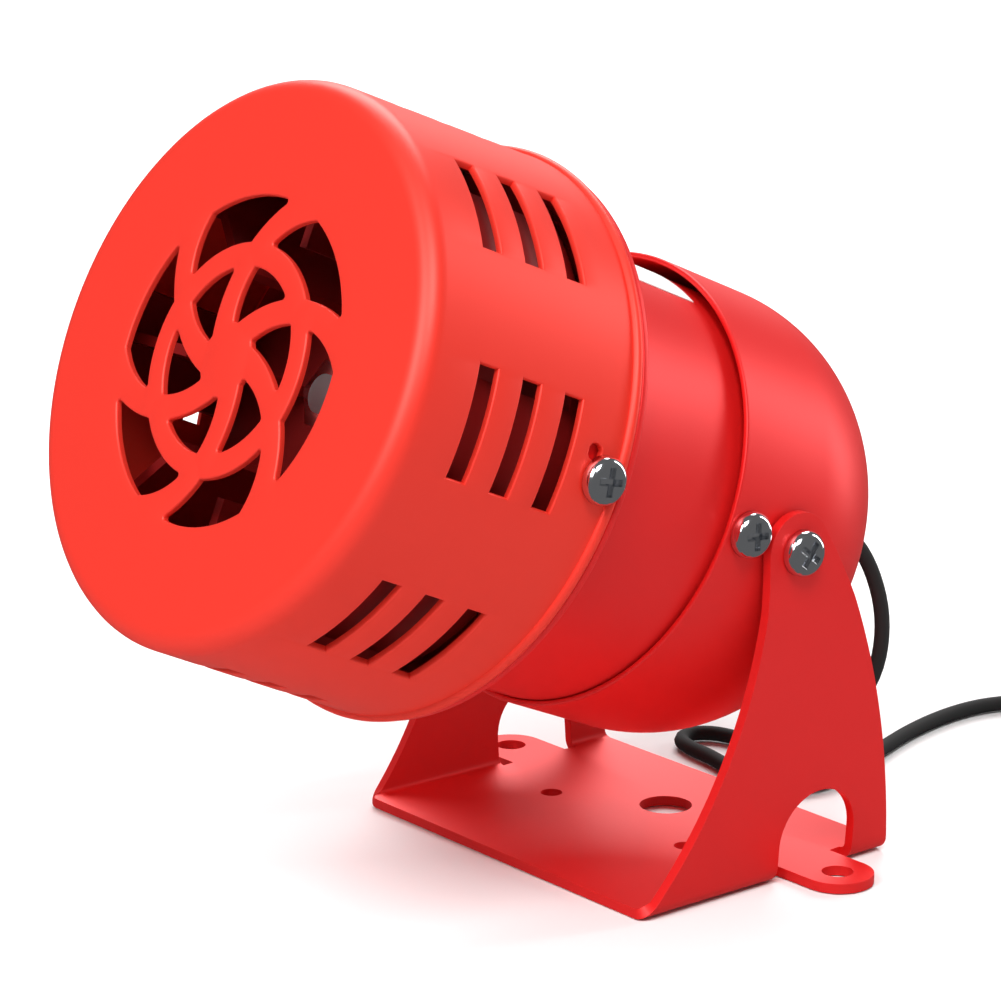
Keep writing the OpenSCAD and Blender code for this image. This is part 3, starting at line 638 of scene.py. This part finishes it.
def smoothed(points, parts):
    """A smooth line through the points, with parts steps from each to the next."""
    line = []
    last = len(points) - 1
    for k in range(last):
        a, b = points[max(k - 1, 0)], points[k]
        c, d = points[k + 1], points[min(k + 2, last)]
        for step in range(parts):
            t = step / parts
            bend, twist = 2 * a - 5 * b + 4 * c - d, 3 * b - a - 3 * c + d
            line.append(b + 0.5 * ((c - a) * t + bend * t**2 + twist * t**3))
    return line + [points[last]]


def tube(name, line, radius, rounding=3):
    """A mesh tube whose rings have their centres on the line."""
    data = bpy.data.curves.new(name, "CURVE")
    data.dimensions = "3D"
    data.bevel_depth = radius
    data.bevel_resolution = rounding
    data.use_fill_caps = True
    spline = data.splines.new("POLY")
    spline.points.add(len(line) - 1)
    for point, place in zip(spline.points, line):
        point.co = (*place, 1.0)
    shaped = bpy.data.objects.new(name, data)
    bpy.context.scene.collection.objects.link(shaped)
    depsgraph = bpy.context.evaluated_depsgraph_get()
    mesh = bpy.data.meshes.new_from_object(shaped.evaluated_get(depsgraph))
    bpy.data.objects.remove(shaped)
    bm = bmesh.new()
    bm.from_mesh(mesh)
    bpy.data.meshes.remove(mesh)
    bmesh.ops.remove_doubles(bm, verts=bm.verts, dist=TINY)
    bmesh.ops.recalc_face_normals(bm, faces=bm.faces)
    return bm


class SIREN_OT_lead(bpy.types.Operator):
    """Lay the lead from the grommet to its coil, with its two bare cores"""

    bl_idname = "siren.lead"
    bl_label = "Lead"

    def execute(self, context):
        sizes = context.scene.siren.lead
        stations = [Vector(p) * MM for p in (*ROUTE_MM, *coil_points(sizes), *END_MM)]
        line = smoothed(stations, 3)
        lead = piece(
            tube("lead", line, sizes.diameter / 2),
            "lead",
            None,
            "black_cord",
            ("cord", "cord_coil", "cord_end"),
            sharp=60.0,
        )
        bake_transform(lead)

        bm = bmesh.new()
        self.bare_cores(bm, sizes, stations[-1])
        cores = piece(bm, "lead_cores", "bracket", "tinned_copper", ("cord_cores",), sharp=60.0)
        return {"FINISHED"}

    @staticmethod
    def bare_cores(bm, sizes, end):
        """Adds two jacketed cores that spread from the lead's end, each with seven strands."""
        droop, spread, tucked = math.radians(10), 0.08, 0.2 * MM
        outer, steps = 6, 12
        away = Vector((0.0, math.cos(droop), -math.sin(droop)))
        for side in (-1, 1):
            start = end + Vector((side * sizes.core * 1.15, 0.0, 0.0)) - away * MM
            ahead = (away + Vector((side * spread, 0.0, 0.0))).normalized()
            jacket = [start + ahead * (sizes.jacket * k / 3) for k in range(4)]
            join(bm, tube("core", jacket, sizes.core))
            for strand in range(outer + 1):
                reach = sizes.core * 0.55 if strand < outer else 0.0
                twist = []
                for k in range(steps + 1):
                    turn = math.radians(strand * 360 / outer + k * 22)
                    rise = Vector((math.cos(turn), 0.0, math.sin(turn))) * reach
                    run = sizes.strand * k / steps - tucked
                    twist.append(jacket[-1] + ahead * run + rise)
                join(bm, tube("strand", twist, sizes.core * 0.27, 1))


def join(bm, other):
    """Adds the other mesh to this one."""
    mesh = bpy.data.meshes.new("part")
    other.to_mesh(mesh)
    other.free()
    bm.from_mesh(mesh)
    bpy.data.meshes.remove(mesh)


# ---------------------------------------------------------------- front cap


def crossing(centre, radius, reach):
    """Where a bar's edge crosses a circle round the boss, on the bar's own side."""
    found = intersect_sphere_sphere_2d(centre, radius, (0.0, 0.0), reach)
    return max(found, key=lambda point: point.y)


def swept(centre, first, last, steps):
    """Points of the shorter arc from first to before last."""
    start, end = Vector(first) - Vector(centre), Vector(last) - Vector(centre)
    turn = start.angle_signed(end)
    points = []
    for step in range(steps):
        arm = start.copy()
        arm.rotate(Matrix.Rotation(-turn * step / steps, 2))
        points.append(Vector(centre) + arm)
    return points


def opening_rings(sizes, inner, outer, corner, grows):
    """Outlines of one opening with rounded corners, one outline for each growth in the list.

    Each side is (centre, radius, side of the circle that the opening lies on); a corner's arc has
    its centre at the crossing of its two sides, both shifted into the opening by its radius.
    """
    # The bars' hollow and full edges are circles, given as shares of the inlet's radius.
    unit, back = sizes.inlet, Matrix.Rotation(-math.tau / sizes.bars, 2)
    hollow, hollow_r = Vector((0.504, 0.354)) * unit, 0.561 * unit
    full, full_r = Vector((0.64, 0.305)) * unit, 0.858 * unit
    origin = Vector((0.0, 0.0))
    sides = (
        (origin, inner, 1),
        (hollow, hollow_r, -1),
        (origin, outer, -1),
        (back @ full, full_r, 1),
    )
    corners = (
        back @ crossing(full, full_r + corner, inner + corner),
        crossing(hollow, hollow_r - corner, inner + corner),
        crossing(hollow, hollow_r - corner, outer - corner),
        back @ crossing(full, full_r + corner, outer - corner),
    )

    def touch(side, middle, grow):
        centre, radius, sign = sides[side % 4]
        return centre + (middle - centre).normalized() * (radius - sign * grow)

    rings = []
    for grow in grows:
        ring = []
        for k, (centre, radius, _) in enumerate(sides):
            here, there = corners[k], corners[(k + 1) % 4]
            reach = (there - here).length
            ring += swept(centre, touch(k, here, grow), touch(k, there, grow), int(reach / MM) + 2)
            ring += swept(there, touch(k, there, grow), touch(k + 1, there, grow), 5)
        rings.append(ring)
    return rings


def cap_taper(head):
    """How much the cap's wall closes in for each metre towards its face."""
    return (head.cap_rim - head.cap_face) / (head.cap_depth - head.cap_edge)


def cap_outline(head, grille, heights):
    """Section of the cap's sheet as (radius, station), from the outer face round to the inner."""
    taper = cap_taper(head)
    shoulder = head.cap_depth - head.cap_edge
    plate = grille.inlet + 2 * MM
    bead = arc((head.cap_rim, head.cap_bead), head.cap_bead, 90, -90, 8)
    corner = head.cap_face - head.cap_edge
    wall = sorted(heights, reverse=True)
    outer = [(plate, head.cap_depth), (corner - 0.3 * MM, head.cap_depth)]
    outer += arc((corner, shoulder), head.cap_edge, 90, 0, 8)
    outer += [(head.cap_rim - taper * h, h) for h in wall] + bead
    rise = head.sheet
    inner = [(head.cap_rim - rise, 0.0)]
    inner += [(head.cap_rim - taper * h - rise, h) for h in reversed(wall)]
    inner += arc((corner, shoulder), head.cap_edge - rise, 0, 90, 5)
    inner += [(plate, head.cap_depth - rise)]
    return [(r, z + head.cap_at) for r, z in outer + inner]


class SIREN_OT_front_cap(bpy.types.Operator):
    """Draw the slotted front cap with its inlet grille"""

    bl_idname = "siren.front_cap"
    bl_label = "Front cap"

    def execute(self, context):
        siren = context.scene.siren
        head, grille, screws = siren.head, siren.grille, siren.screws
        middle = head.cap_depth / 2
        slots = [
            middle + (k - (grille.in_group - 1) / 2) * grille.slot_pitch
            for k in range(grille.in_group)
        ]
        notch_rise, notch_half, notch_angle = 2.2 * MM, 0.92 * MM, 4.5
        notch = screws.cap_station - head.cap_at + notch_rise
        heights = [2.2 * MM, 0.4 * MM + head.cap_bead * 2, notch - notch_half, notch]
        heights += [notch + notch_half, head.cap_depth - head.cap_edge - 0.3 * MM]
        for station in slots:
            heights += [station - grille.slot_width / 2, station + grille.slot_width / 2]

        bm = bmesh.new()
        lathe(bm, cap_outline(head, grille, heights), 360, closed=False)
        half = grille.slot_angle / 2
        cuts = [
            (grille.slot_start + group * 360 / grille.groups, station + head.cap_at, half,
             grille.slot_width / 2)
            for group in range(grille.groups)
            for station in slots
        ]  # fmt: skip
        notches = [
            (notch_angle + turn * 120, notch + head.cap_at, 1.5, notch_half) for turn in range(3)
        ]
        self.cut_walls(bm, head, cuts, notches, 1.3 * MM)
        self.cut_face(bm, head, grille)
        bmesh.ops.recalc_face_normals(bm, faces=bm.faces)
        piece(bm, "front_cap_shell", "head", "red_cap_enamel", ("front_cap",), HEAD, 42.0)
        return {"FINISHED"}

    def cut_walls(self, bm, head, cuts, notches, notch_r):
        """Cuts the slots and the screws' round notches through both skins of the wall."""
        wall_r = head.cap_face - head.cap_edge / 2

        def near(co, cut):
            angle = math.degrees(math.atan2(co.y, co.x)) - cut[0]
            return (angle + 180) % 360 - 180, co.z - cut[1]

        def inside(face, cut):
            angle, rise = near(face.calc_center_median(), cut)
            return abs(angle) < cut[2] and abs(rise) < cut[3]

        holes = [[] for _ in cuts + notches]
        for face in bm.faces:
            co = face.calc_center_median()
            if math.hypot(co.x, co.y) < wall_r:
                continue
            for found, cut in zip(holes, cuts + notches):
                if inside(face, cut):
                    found.append(face)
                    break
        rims = [
            [e for face in found for e in face.edges if sum(f in found for f in e.link_faces) == 1]
            for found in holes
        ]
        gone = [face for found in holes for face in found]
        kept = [edge for rim in rims for edge in rim]
        bmesh.ops.delete(bm, geom=gone, context="FACES")
        for cut, rim in zip(notches, rims[len(cuts):]):
            for vert in dict.fromkeys(v for edge in rim for v in edge.verts):
                angle, rise = near(vert.co, cut)
                reach = math.hypot(vert.co.x, vert.co.y)
                offset = Vector((math.radians(angle) * reach, rise))
                offset = offset.normalized() * notch_r
                turn = math.radians(cut[0]) + offset.x / reach
                vert.co = (
                    reach * math.cos(turn),
                    reach * math.sin(turn),
                    cut[1] + offset.y,
                )
        for rim in rims:
            bmesh.ops.bridge_loops(bm, edges=rim)
        bmesh.ops.recalc_face_normals(bm, faces=bm.faces)
        outer = [
            edge
            for edge in kept
            if edge.is_valid
            and len(edge.link_faces) == 2
            and edge.calc_face_angle() > 1.0
            and self.on_outside(edge, head)
        ]
        bmesh.ops.bevel(
            bm,
            geom=outer,
            offset=head.edge,
            offset_type="OFFSET",
            affect="EDGES",
            segments=3,
            profile=0.5,
            material=-1,
        )

    @staticmethod
    def on_outside(edge, head):
        """True where an edge lies on the outer skin of the wall."""
        for vert in edge.verts:
            skin = head.cap_rim - cap_taper(head) * (vert.co.z - head.cap_at)
            if abs(math.hypot(vert.co.x, vert.co.y) - skin) > head.sheet / 2:
                return False
        return True

    def cut_face(self, bm, head, grille):
        """Closes the flat face between the wall and the openings of the grille."""
        top = head.cap_at + head.cap_depth
        half = grille.ring_width / 2
        ring_in, ring_out = grille.ring - half, grille.ring + half
        quarter = [math.radians(30 * step) for step in range(4)]
        grows = [head.edge * (1 - math.sin(angle)) for angle in quarter] + [0.0]
        drops = [head.edge * (1 - math.cos(angle)) for angle in quarter] + [head.sheet]
        for inner, outer in ((grille.hub, ring_in), (ring_out, grille.inlet)):
            rings = opening_rings(grille, inner, outer, 0.45 * MM, grows)
            for bar in range(grille.bars):
                turn = Matrix.Rotation(bar * math.tau / grille.bars, 2)
                above = None
                for ring, drop in zip(rings, drops):
                    below = outline_edges(bm, [(*(turn @ point), top - drop) for point in ring])
                    if above:
                        bmesh.ops.bridge_loops(bm, edges=above + below)
                    above = below
        for height in (top, top - head.sheet):
            rim = [
                edge
                for edge in bm.edges
                if len(edge.link_faces) == 1
                and all(abs(v.co.z - height) < 0.02 * MM for v in edge.verts)
            ]
            if not rim:
                raise RuntimeError("the cap's face has no outline to close")
            fill_plate(bm, rim)


# ---------------------------------------------------------------- housing and cover


class SIREN_OT_housing(bpy.types.Operator):
    """Spin the motor housing with its flange and skirt"""

    bl_idname = "siren.housing"
    bl_label = "Housing"

    def execute(self, context):
        head = context.scene.siren.head
        inside = head.tube - head.sheet
        top = head.flange_at + head.flange_sheet
        fillet = 1.0 * MM
        tube_back = -8 * MM
        outline = [(inside, tube_back), (head.tube, tube_back)]
        outline += [(head.tube, head.cover_front + 0.5 * MM)]
        outline += arc((head.tube + fillet, head.flange_at - fillet), fillet, 180, 90, 5)
        outline += [(head.flange - head.edge - 0.3 * MM, head.flange_at)]
        rim = head.flange - head.edge
        outline += arc((rim, head.flange_at + head.edge), head.edge, -90, 0, 3)
        outline += arc((rim, top - head.edge), head.edge, 0, 90, 3)
        skirt_in = head.skirt - head.sheet
        outline += [(head.skirt, top), (head.skirt, head.skirt_end)]
        outline += [(skirt_in, head.skirt_end), (skirt_in, top)]
        outline += [(inside, top)]
        bm = bmesh.new()
        lathe(bm, outline, 192)
        piece(bm, "motor_housing_shell", "head", "red_gloss_enamel", ("motor_housing",), HEAD)
        return {"FINISHED"}


class SIREN_OT_cover(bpy.types.Operator):
    """Spin the domed rear cover"""

    bl_idname = "siren.cover"
    bl_label = "Rear cover"

    def execute(self, context):
        head = context.scene.siren.head
        bend = head.cover - head.cover_flat
        middle = bend - head.cover_back
        rim = 0.3 * MM
        inner = bend - head.cover_sheet
        outline = [(0.0, -head.cover_back), (head.cover_flat * 0.5, -head.cover_back)]
        outline += arc((head.cover_flat, middle), bend, -90, 0, 40)
        outline += [(head.cover, head.cover_front - rim - 0.3 * MM)]
        outline += arc((head.cover - rim, head.cover_front - rim), rim, 0, 90, 3)
        skin = head.cover - head.cover_sheet
        outline += arc((skin + rim, head.cover_front - rim), rim, 90, 180, 3)
        outline += arc((head.cover_flat, middle), inner, 0, -90, 30)
        outline += [(0.0, -head.cover_back + head.cover_sheet)]
        bm = bmesh.new()
        lathe(bm, outline, 192, closed=False, centre=(0.0, head.cover_lift))
        piece(bm, "rear_cover_shell", "head", "red_gloss_enamel", ("rear_cover",), HEAD)
        return {"FINISHED"}


# ---------------------------------------------------------------- bracket


class SIREN_OT_bracket(bpy.types.Operator):
    """Fold the stirrup bracket with its arms and feet"""

    bl_idname = "siren.bracket"
    bl_label = "Bracket"

    def execute(self, context):
        sizes = context.scene.siren.bracket
        bm = bmesh.new()
        for side in (1, -1):
            self.fold_arm(bm, sizes, side)
        self.lay_base(bm, sizes)
        bmesh.ops.remove_doubles(bm, verts=bm.verts, dist=0.01 * MM)
        bmesh.ops.recalc_face_normals(bm, faces=bm.faces)
        base = min(bm.faces, key=lambda face: face.calc_center_median().z)
        if base.normal.z > 0:
            bmesh.ops.reverse_faces(bm, faces=bm.faces)
        made = piece(bm, "stirrup_bracket", "bracket", "red_gloss_enamel", ("bracket",), None, 35.0)
        wall = made.modifiers.new("Sheet", "SOLIDIFY")
        wall.thickness = sizes.sheet
        wall.offset = -1.0
        wall.use_even_offset = True
        wall.use_quality_normals = True
        harden(made, sizes.edge, 3, 35.0)
        return {"FINISHED"}

    @staticmethod
    def arm_outline(sizes):
        """Side view of an arm as (y, z) points, anticlockwise from the front corner."""
        lug = Vector((PIVOT.y, PIVOT.z))
        front, back = Vector((-sizes.depth / 2, 0.0)), Vector((sizes.depth / 2, 0.0))
        hollow = min(
            intersect_sphere_sphere_2d(front, sizes.front_arc, lug, sizes.front_arc + sizes.lug),
            key=lambda point: point.x,
        )
        full = min(
            intersect_sphere_sphere_2d(back, sizes.back_arc, lug, sizes.back_arc - sizes.lug),
            key=lambda point: point.x,
        )
        front_touch = lug + (hollow - lug).normalized() * sizes.lug
        back_touch = lug + (lug - full).normalized() * sizes.lug
        crown = lug + Vector((0.0, sizes.lug))
        points = [Vector((sizes.row + sizes.arch, 0.0))]
        points += swept(full, back, back_touch, 36)
        points += swept(lug, back_touch, crown, 12)
        points += swept(lug, crown, front_touch, 12)
        points += swept(hollow, front_touch, front, 40)
        points += [front, Vector((sizes.row - sizes.arch, 0.0))]
        middle = Vector((sizes.row, sizes.arch_top - sizes.arch))
        return points + arc(middle, sizes.arch, 180, 0, 24)

    def fold_arm(self, bm, sizes, side):
        """Adds one arm's outer skin, bent up from the base and splayed out."""
        face = bm.faces.new([bm.verts.new((0.0, y, z)) for y, z in self.arm_outline(sizes)])
        made = [face, *face.edges, *face.verts]
        bends, knee = 6, PIVOT.z - sizes.straight
        quarter = [math.radians(90 * k / bends) for k in range(1, bends + 1)]
        levels = [sizes.bend * (1 - math.cos(angle)) for angle in quarter] + [knee]
        for level in levels:
            cut = bmesh.ops.bisect_plane(
                bm, geom=made, dist=TINY, plane_co=(0.0, 0.0, level), plane_no=(0.0, 0.0, 1.0)
            )
            made = cut["geom"]
        foot = sizes.width / 2
        for vert in {item for item in made if isinstance(item, bmesh.types.BMVert)}:
            z = vert.co.z
            if z < sizes.bend:
                x = foot - sizes.bend + math.sqrt(sizes.bend**2 - (sizes.bend - z) ** 2)
            else:
                share = min(1.0, (z - sizes.bend) / (knee - sizes.bend))
                x = foot + share * (sizes.arm_top - foot)
            vert.co.x = side * x

    def lay_base(self, bm, sizes):
        """Adds the underside of the base with its feet and holes."""
        edge = sizes.width / 2 - sizes.bend
        half, arch = sizes.depth / 2, sizes.arch
        tab = sizes.foot_width / 2
        centre = sizes.width / 2 + sizes.foot_reach - tab
        right = [(edge, -half), (edge, sizes.row - arch), (edge, sizes.row - tab)]
        right += arc((centre, sizes.row), tab, -90, 90, 20)
        right += [(edge, sizes.row + tab), (edge, sizes.row + arch), (edge, half)]
        left = [(-x, y) for x, y in reversed(right)]
        rims = outline_edges(bm, [(x, y, 0.0) for x, y in right + left])
        small_y = -1 * MM
        holes = [(0.0, sizes.row, sizes.centre_hole)]
        for side in (1, -1):
            holes.append((side * centre, sizes.row, sizes.foot_hole))
            holes.append((side * sizes.small_gap / 2, small_y, sizes.small_hole))
        for x, y, diameter in holes:
            made = bmesh.ops.create_circle(
                bm,
                cap_ends=False,
                segments=36,
                radius=diameter / 2,
                matrix=Matrix.Translation((x, y, 0.0)),
            )
            rims += list({e for v in made["verts"] for e in v.link_edges})
        fill_plate(bm, rims)


# ---------------------------------------------------------------- screws, label and grommet


class SIREN_OT_screws(bpy.types.Operator):
    """Turn the pan-head screws and set them into cap, cover and pivot"""

    bl_idname = "siren.screws"
    bl_label = "Screws"

    def execute(self, context):
        siren = context.scene.siren
        head, screws = siren.head, siren.screws
        low = screws.cap_station - head.cap_at - screws.head / 2
        cap_seat = head.cap_rim - cap_taper(head) * low
        cover_tip = head.cover - head.tube + head.sheet + 2 * MM
        arm_seat = siren.bracket.arm_top + 0.05 * MM
        pivot_tip = arm_seat - head.tube + head.sheet + 4.4 * MM
        sets = (
            ("cap_screw_set", "cap_screws", cap_seat, cap_seat - head.skirt + 3 * MM,
             screws.cap_station, (0, 120, 240), (12, 50, -35)),
            ("cover_screw_set", "cover_screws", head.cover, cover_tip,
             screws.cover_station, (0, 180), (20, -15)),
            ("pivot_screw_set", "pivot_screws", arm_seat, pivot_tip, 0.0, (0, 180), (-14, 40)),
        )  # fmt: skip
        for name, node, seat, depth, station, turns, rolls in sets:
            bm = bmesh.new()
            for turn, roll in zip(turns, rolls):
                part = self.pan_screw(screws, depth)
                place = (
                    Matrix.Rotation(math.radians(turn), 4, "Z")
                    @ Matrix.Translation((seat, 0.0, station))
                    @ Matrix.Rotation(math.radians(90), 4, "Y")
                    @ Matrix.Rotation(math.radians(roll), 4, "Z")
                )
                bmesh.ops.transform(part, matrix=place, verts=part.verts)
                join(bm, part)
            piece(bm, name, "head", "zinc_plate", (node,), HEAD, 50.0)
        return {"FINISHED"}

    @staticmethod
    def pan_screw(screws, depth):
        """A screw along +z whose head sits on z = 0, with a tapered cross recess."""
        radius, height, shank = screws.head / 2, screws.head_height, screws.shank / 2
        flat = radius * 0.66
        bm = bmesh.new()
        outline = [(0.0, -depth), (shank - 0.4 * MM, -depth), (shank, -depth + 0.4 * MM)]
        outline += [(shank, 0.0), (radius - 0.15 * MM, 0.0), (radius, 0.15 * MM)]
        outline += [(radius, height * 0.38), (radius * 0.975, height * 0.58)]
        outline += [(radius * 0.92, height * 0.76), (radius * 0.84, height * 0.89)]
        outline += [(radius * 0.75, height * 0.97), (flat, height)]
        lathe(bm, outline, 48, closed=False)
        rim = [e for e in bm.edges if len(e.link_faces) == 1]
        long, wide = screws.recess / 2, screws.recess_width / 2
        cross = []
        for quarter in range(4):
            turn = Matrix.Rotation(math.radians(90 * quarter), 2)
            for point in ((long, -wide), (long, wide), (wide, wide)):
                corner = Vector(point)
                corner.rotate(turn)
                cross.append(tuple(corner))
        face = loop_face(bm, cross, height)
        edges = list(face.edges)
        taper, sink = wide * 0.28, height * 0.42
        bmesh.ops.inset_individual(
            bm, faces=[face], thickness=0.06 * MM, depth=-0.05 * MM, use_even_offset=True
        )
        bmesh.ops.inset_individual(
            bm, faces=[face], thickness=taper, depth=-sink, use_even_offset=True
        )
        fill_plate(bm, rim + edges)
        bmesh.ops.recalc_face_normals(bm, faces=bm.faces)
        return bm


class SIREN_OT_label(bpy.types.Operator):
    """Wrap the rating label round the top of the housing"""

    bl_idname = "siren.label"
    bl_label = "Rating label"

    def execute(self, context):
        head = context.scene.siren.head
        low = head.cover_front + 0.8 * MM
        high = low + 12.8 * MM
        angle, film, radius = 51.0, 0.15 * MM, head.tube
        bm = bmesh.new()
        corners = ((radius, low), (radius + film, low), (radius + film, high), (radius, high))
        verts = [bm.verts.new((r, 0.0, z)) for r, z in corners]
        face = bm.faces.new(verts)
        bmesh.ops.rotate(
            bm,
            verts=verts,
            cent=(0.0, 0.0, 0.0),
            matrix=Matrix.Rotation(math.radians(90 - angle / 2), 3, "Z"),
        )
        bmesh.ops.spin(
            bm,
            geom=[face],
            cent=(0.0, 0.0, 0.0),
            axis=(0.0, 0.0, 1.0),
            angle=math.radians(angle),
            steps=40,
        )
        bmesh.ops.remove_doubles(bm, verts=bm.verts, dist=TINY)
        bmesh.ops.recalc_face_normals(bm, faces=bm.faces)
        layer = bm.loops.layers.uv.new("UVMap")
        for part in bm.faces:
            for loop in part.loops:
                co = loop.vert.co
                turn = math.degrees(math.atan2(co.y, co.x)) - 90 + angle / 2
                loop[layer].uv = (turn / angle * 2.4, (co.z - low) / (high - low))
        piece(bm, "rating_label_film", "head", "white_label", ("rating_label",), HEAD)
        return {"FINISHED"}


class SIREN_OT_grommet(bpy.types.Operator):
    """Mould the tapered grommet where the lead comes out"""

    bl_idname = "siren.grommet"
    bl_label = "Grommet"

    def execute(self, context):
        siren = context.scene.siren
        head, lead = siren.head, siren.lead
        rise = 6.8 * MM
        flange, neck = 3.9 * MM, 2.9 * MM
        wall = head.cover_sheet
        bore = lead.diameter / 2
        tip = bore + 0.8 * MM
        # Stations run backwards from the cover's outer face.
        outline = [(bore, -wall - 1.4 * MM), (flange - 0.3 * MM, -wall - 1.4 * MM)]
        outline += [(flange, -wall - 1.1 * MM), (flange, -wall - 0.05 * MM)]
        outline += [(neck, -wall - 0.05 * MM), (neck, 0.05 * MM), (flange, 0.05 * MM)]
        outline += [(flange, 1.3 * MM), (flange - 0.4 * MM, 1.9 * MM), (neck, 2.3 * MM)]
        for ring in range(4):
            start = (2.6 + ring * 1.25) * MM
            share = ring / 4
            out = neck * (1 - share) + tip * share
            outline += [(out, start), (out - 0.05 * MM, start + 0.7 * MM)]
            outline += [(out - 0.45 * MM, start + 0.85 * MM), (out - 0.5 * MM, start + 1.1 * MM)]
        outline += [(tip, 7.5 * MM), (tip - 0.2 * MM, 7.9 * MM), (bore, 7.95 * MM)]
        bm = bmesh.new()
        lathe(bm, outline, 48)
        place = (
            HEAD
            @ Matrix.Translation((0.0, rise, -head.cover_back))
            @ Matrix.Rotation(math.radians(180), 4, "X")
        )
        piece(bm, "lead_grommet", "head", "black_rubber", ("cord_grommet",), place, 50.0)
        return {"FINISHED"}


class SIREN_OT_inner_parts(bpy.types.Operator):
    """Give every frame part that stays in view its finish"""

    bl_idname = "siren.inner_parts"
    bl_label = "Inner parts"

    def execute(self, context):
        made = finishes()
        for part in frame["record"]["subparts"]:
            mesh = frame["nodes"][part["node"]].data
            mesh.materials.clear()
            mesh.materials.append(made[part["material_slot"]])
        return {"FINISHED"}


# ---------------------------------------------------------------- panel and registration


STEPS = (
    SIREN_OT_view,
    SIREN_OT_lead,
    SIREN_OT_stage,
    SIREN_OT_front_cap,
    SIREN_OT_housing,
    SIREN_OT_cover,
    SIREN_OT_bracket,
    SIREN_OT_screws,
    SIREN_OT_label,
    SIREN_OT_grommet,
    SIREN_OT_inner_parts,
)


class SIREN_PT_panel(bpy.types.Panel):
    """Lists the siren's sizes, colours and building steps"""

    bl_idname = "SIREN_PT_panel"
    bl_label = "Motor siren"
    bl_space_type = "VIEW_3D"
    bl_region_type = "UI"
    bl_category = "Siren"

    def draw(self, context):
        siren = context.scene.siren
        for title, group in (
            ("Bracket", siren.bracket),
            ("Head", siren.head),
            ("Openings", siren.grille),
            ("Screws", siren.screws),
            ("Lead", siren.lead),
            ("Colours", siren.colours),
        ):
            box = self.layout.box()
            box.label(text=title)
            for name in group.__annotations__:
                box.prop(group, name)
        for step in STEPS:
            self.layout.operator(step.bl_idname)


CLASSES = (
    SirenBracketSizes,
    SirenHeadSizes,
    SirenGrilleSizes,
    SirenScrewSizes,
    SirenLeadSizes,
    SirenColours,
    SirenProperties,
    *STEPS,
    SIREN_PT_panel,
)


def register():
    for item in CLASSES:
        bpy.utils.register_class(item)
    bpy.types.Scene.siren = PointerProperty(type=SirenProperties)


def unregister():
    del bpy.types.Scene.siren
    for item in reversed(CLASSES):
        bpy.utils.unregister_class(item)


def main():
    """Builds the whole siren."""
    register()
    for step in STEPS:
        group, name = step.bl_idname.split(".")
        getattr(getattr(bpy.ops, group), name)()


if __name__ == "__main__":
    main()
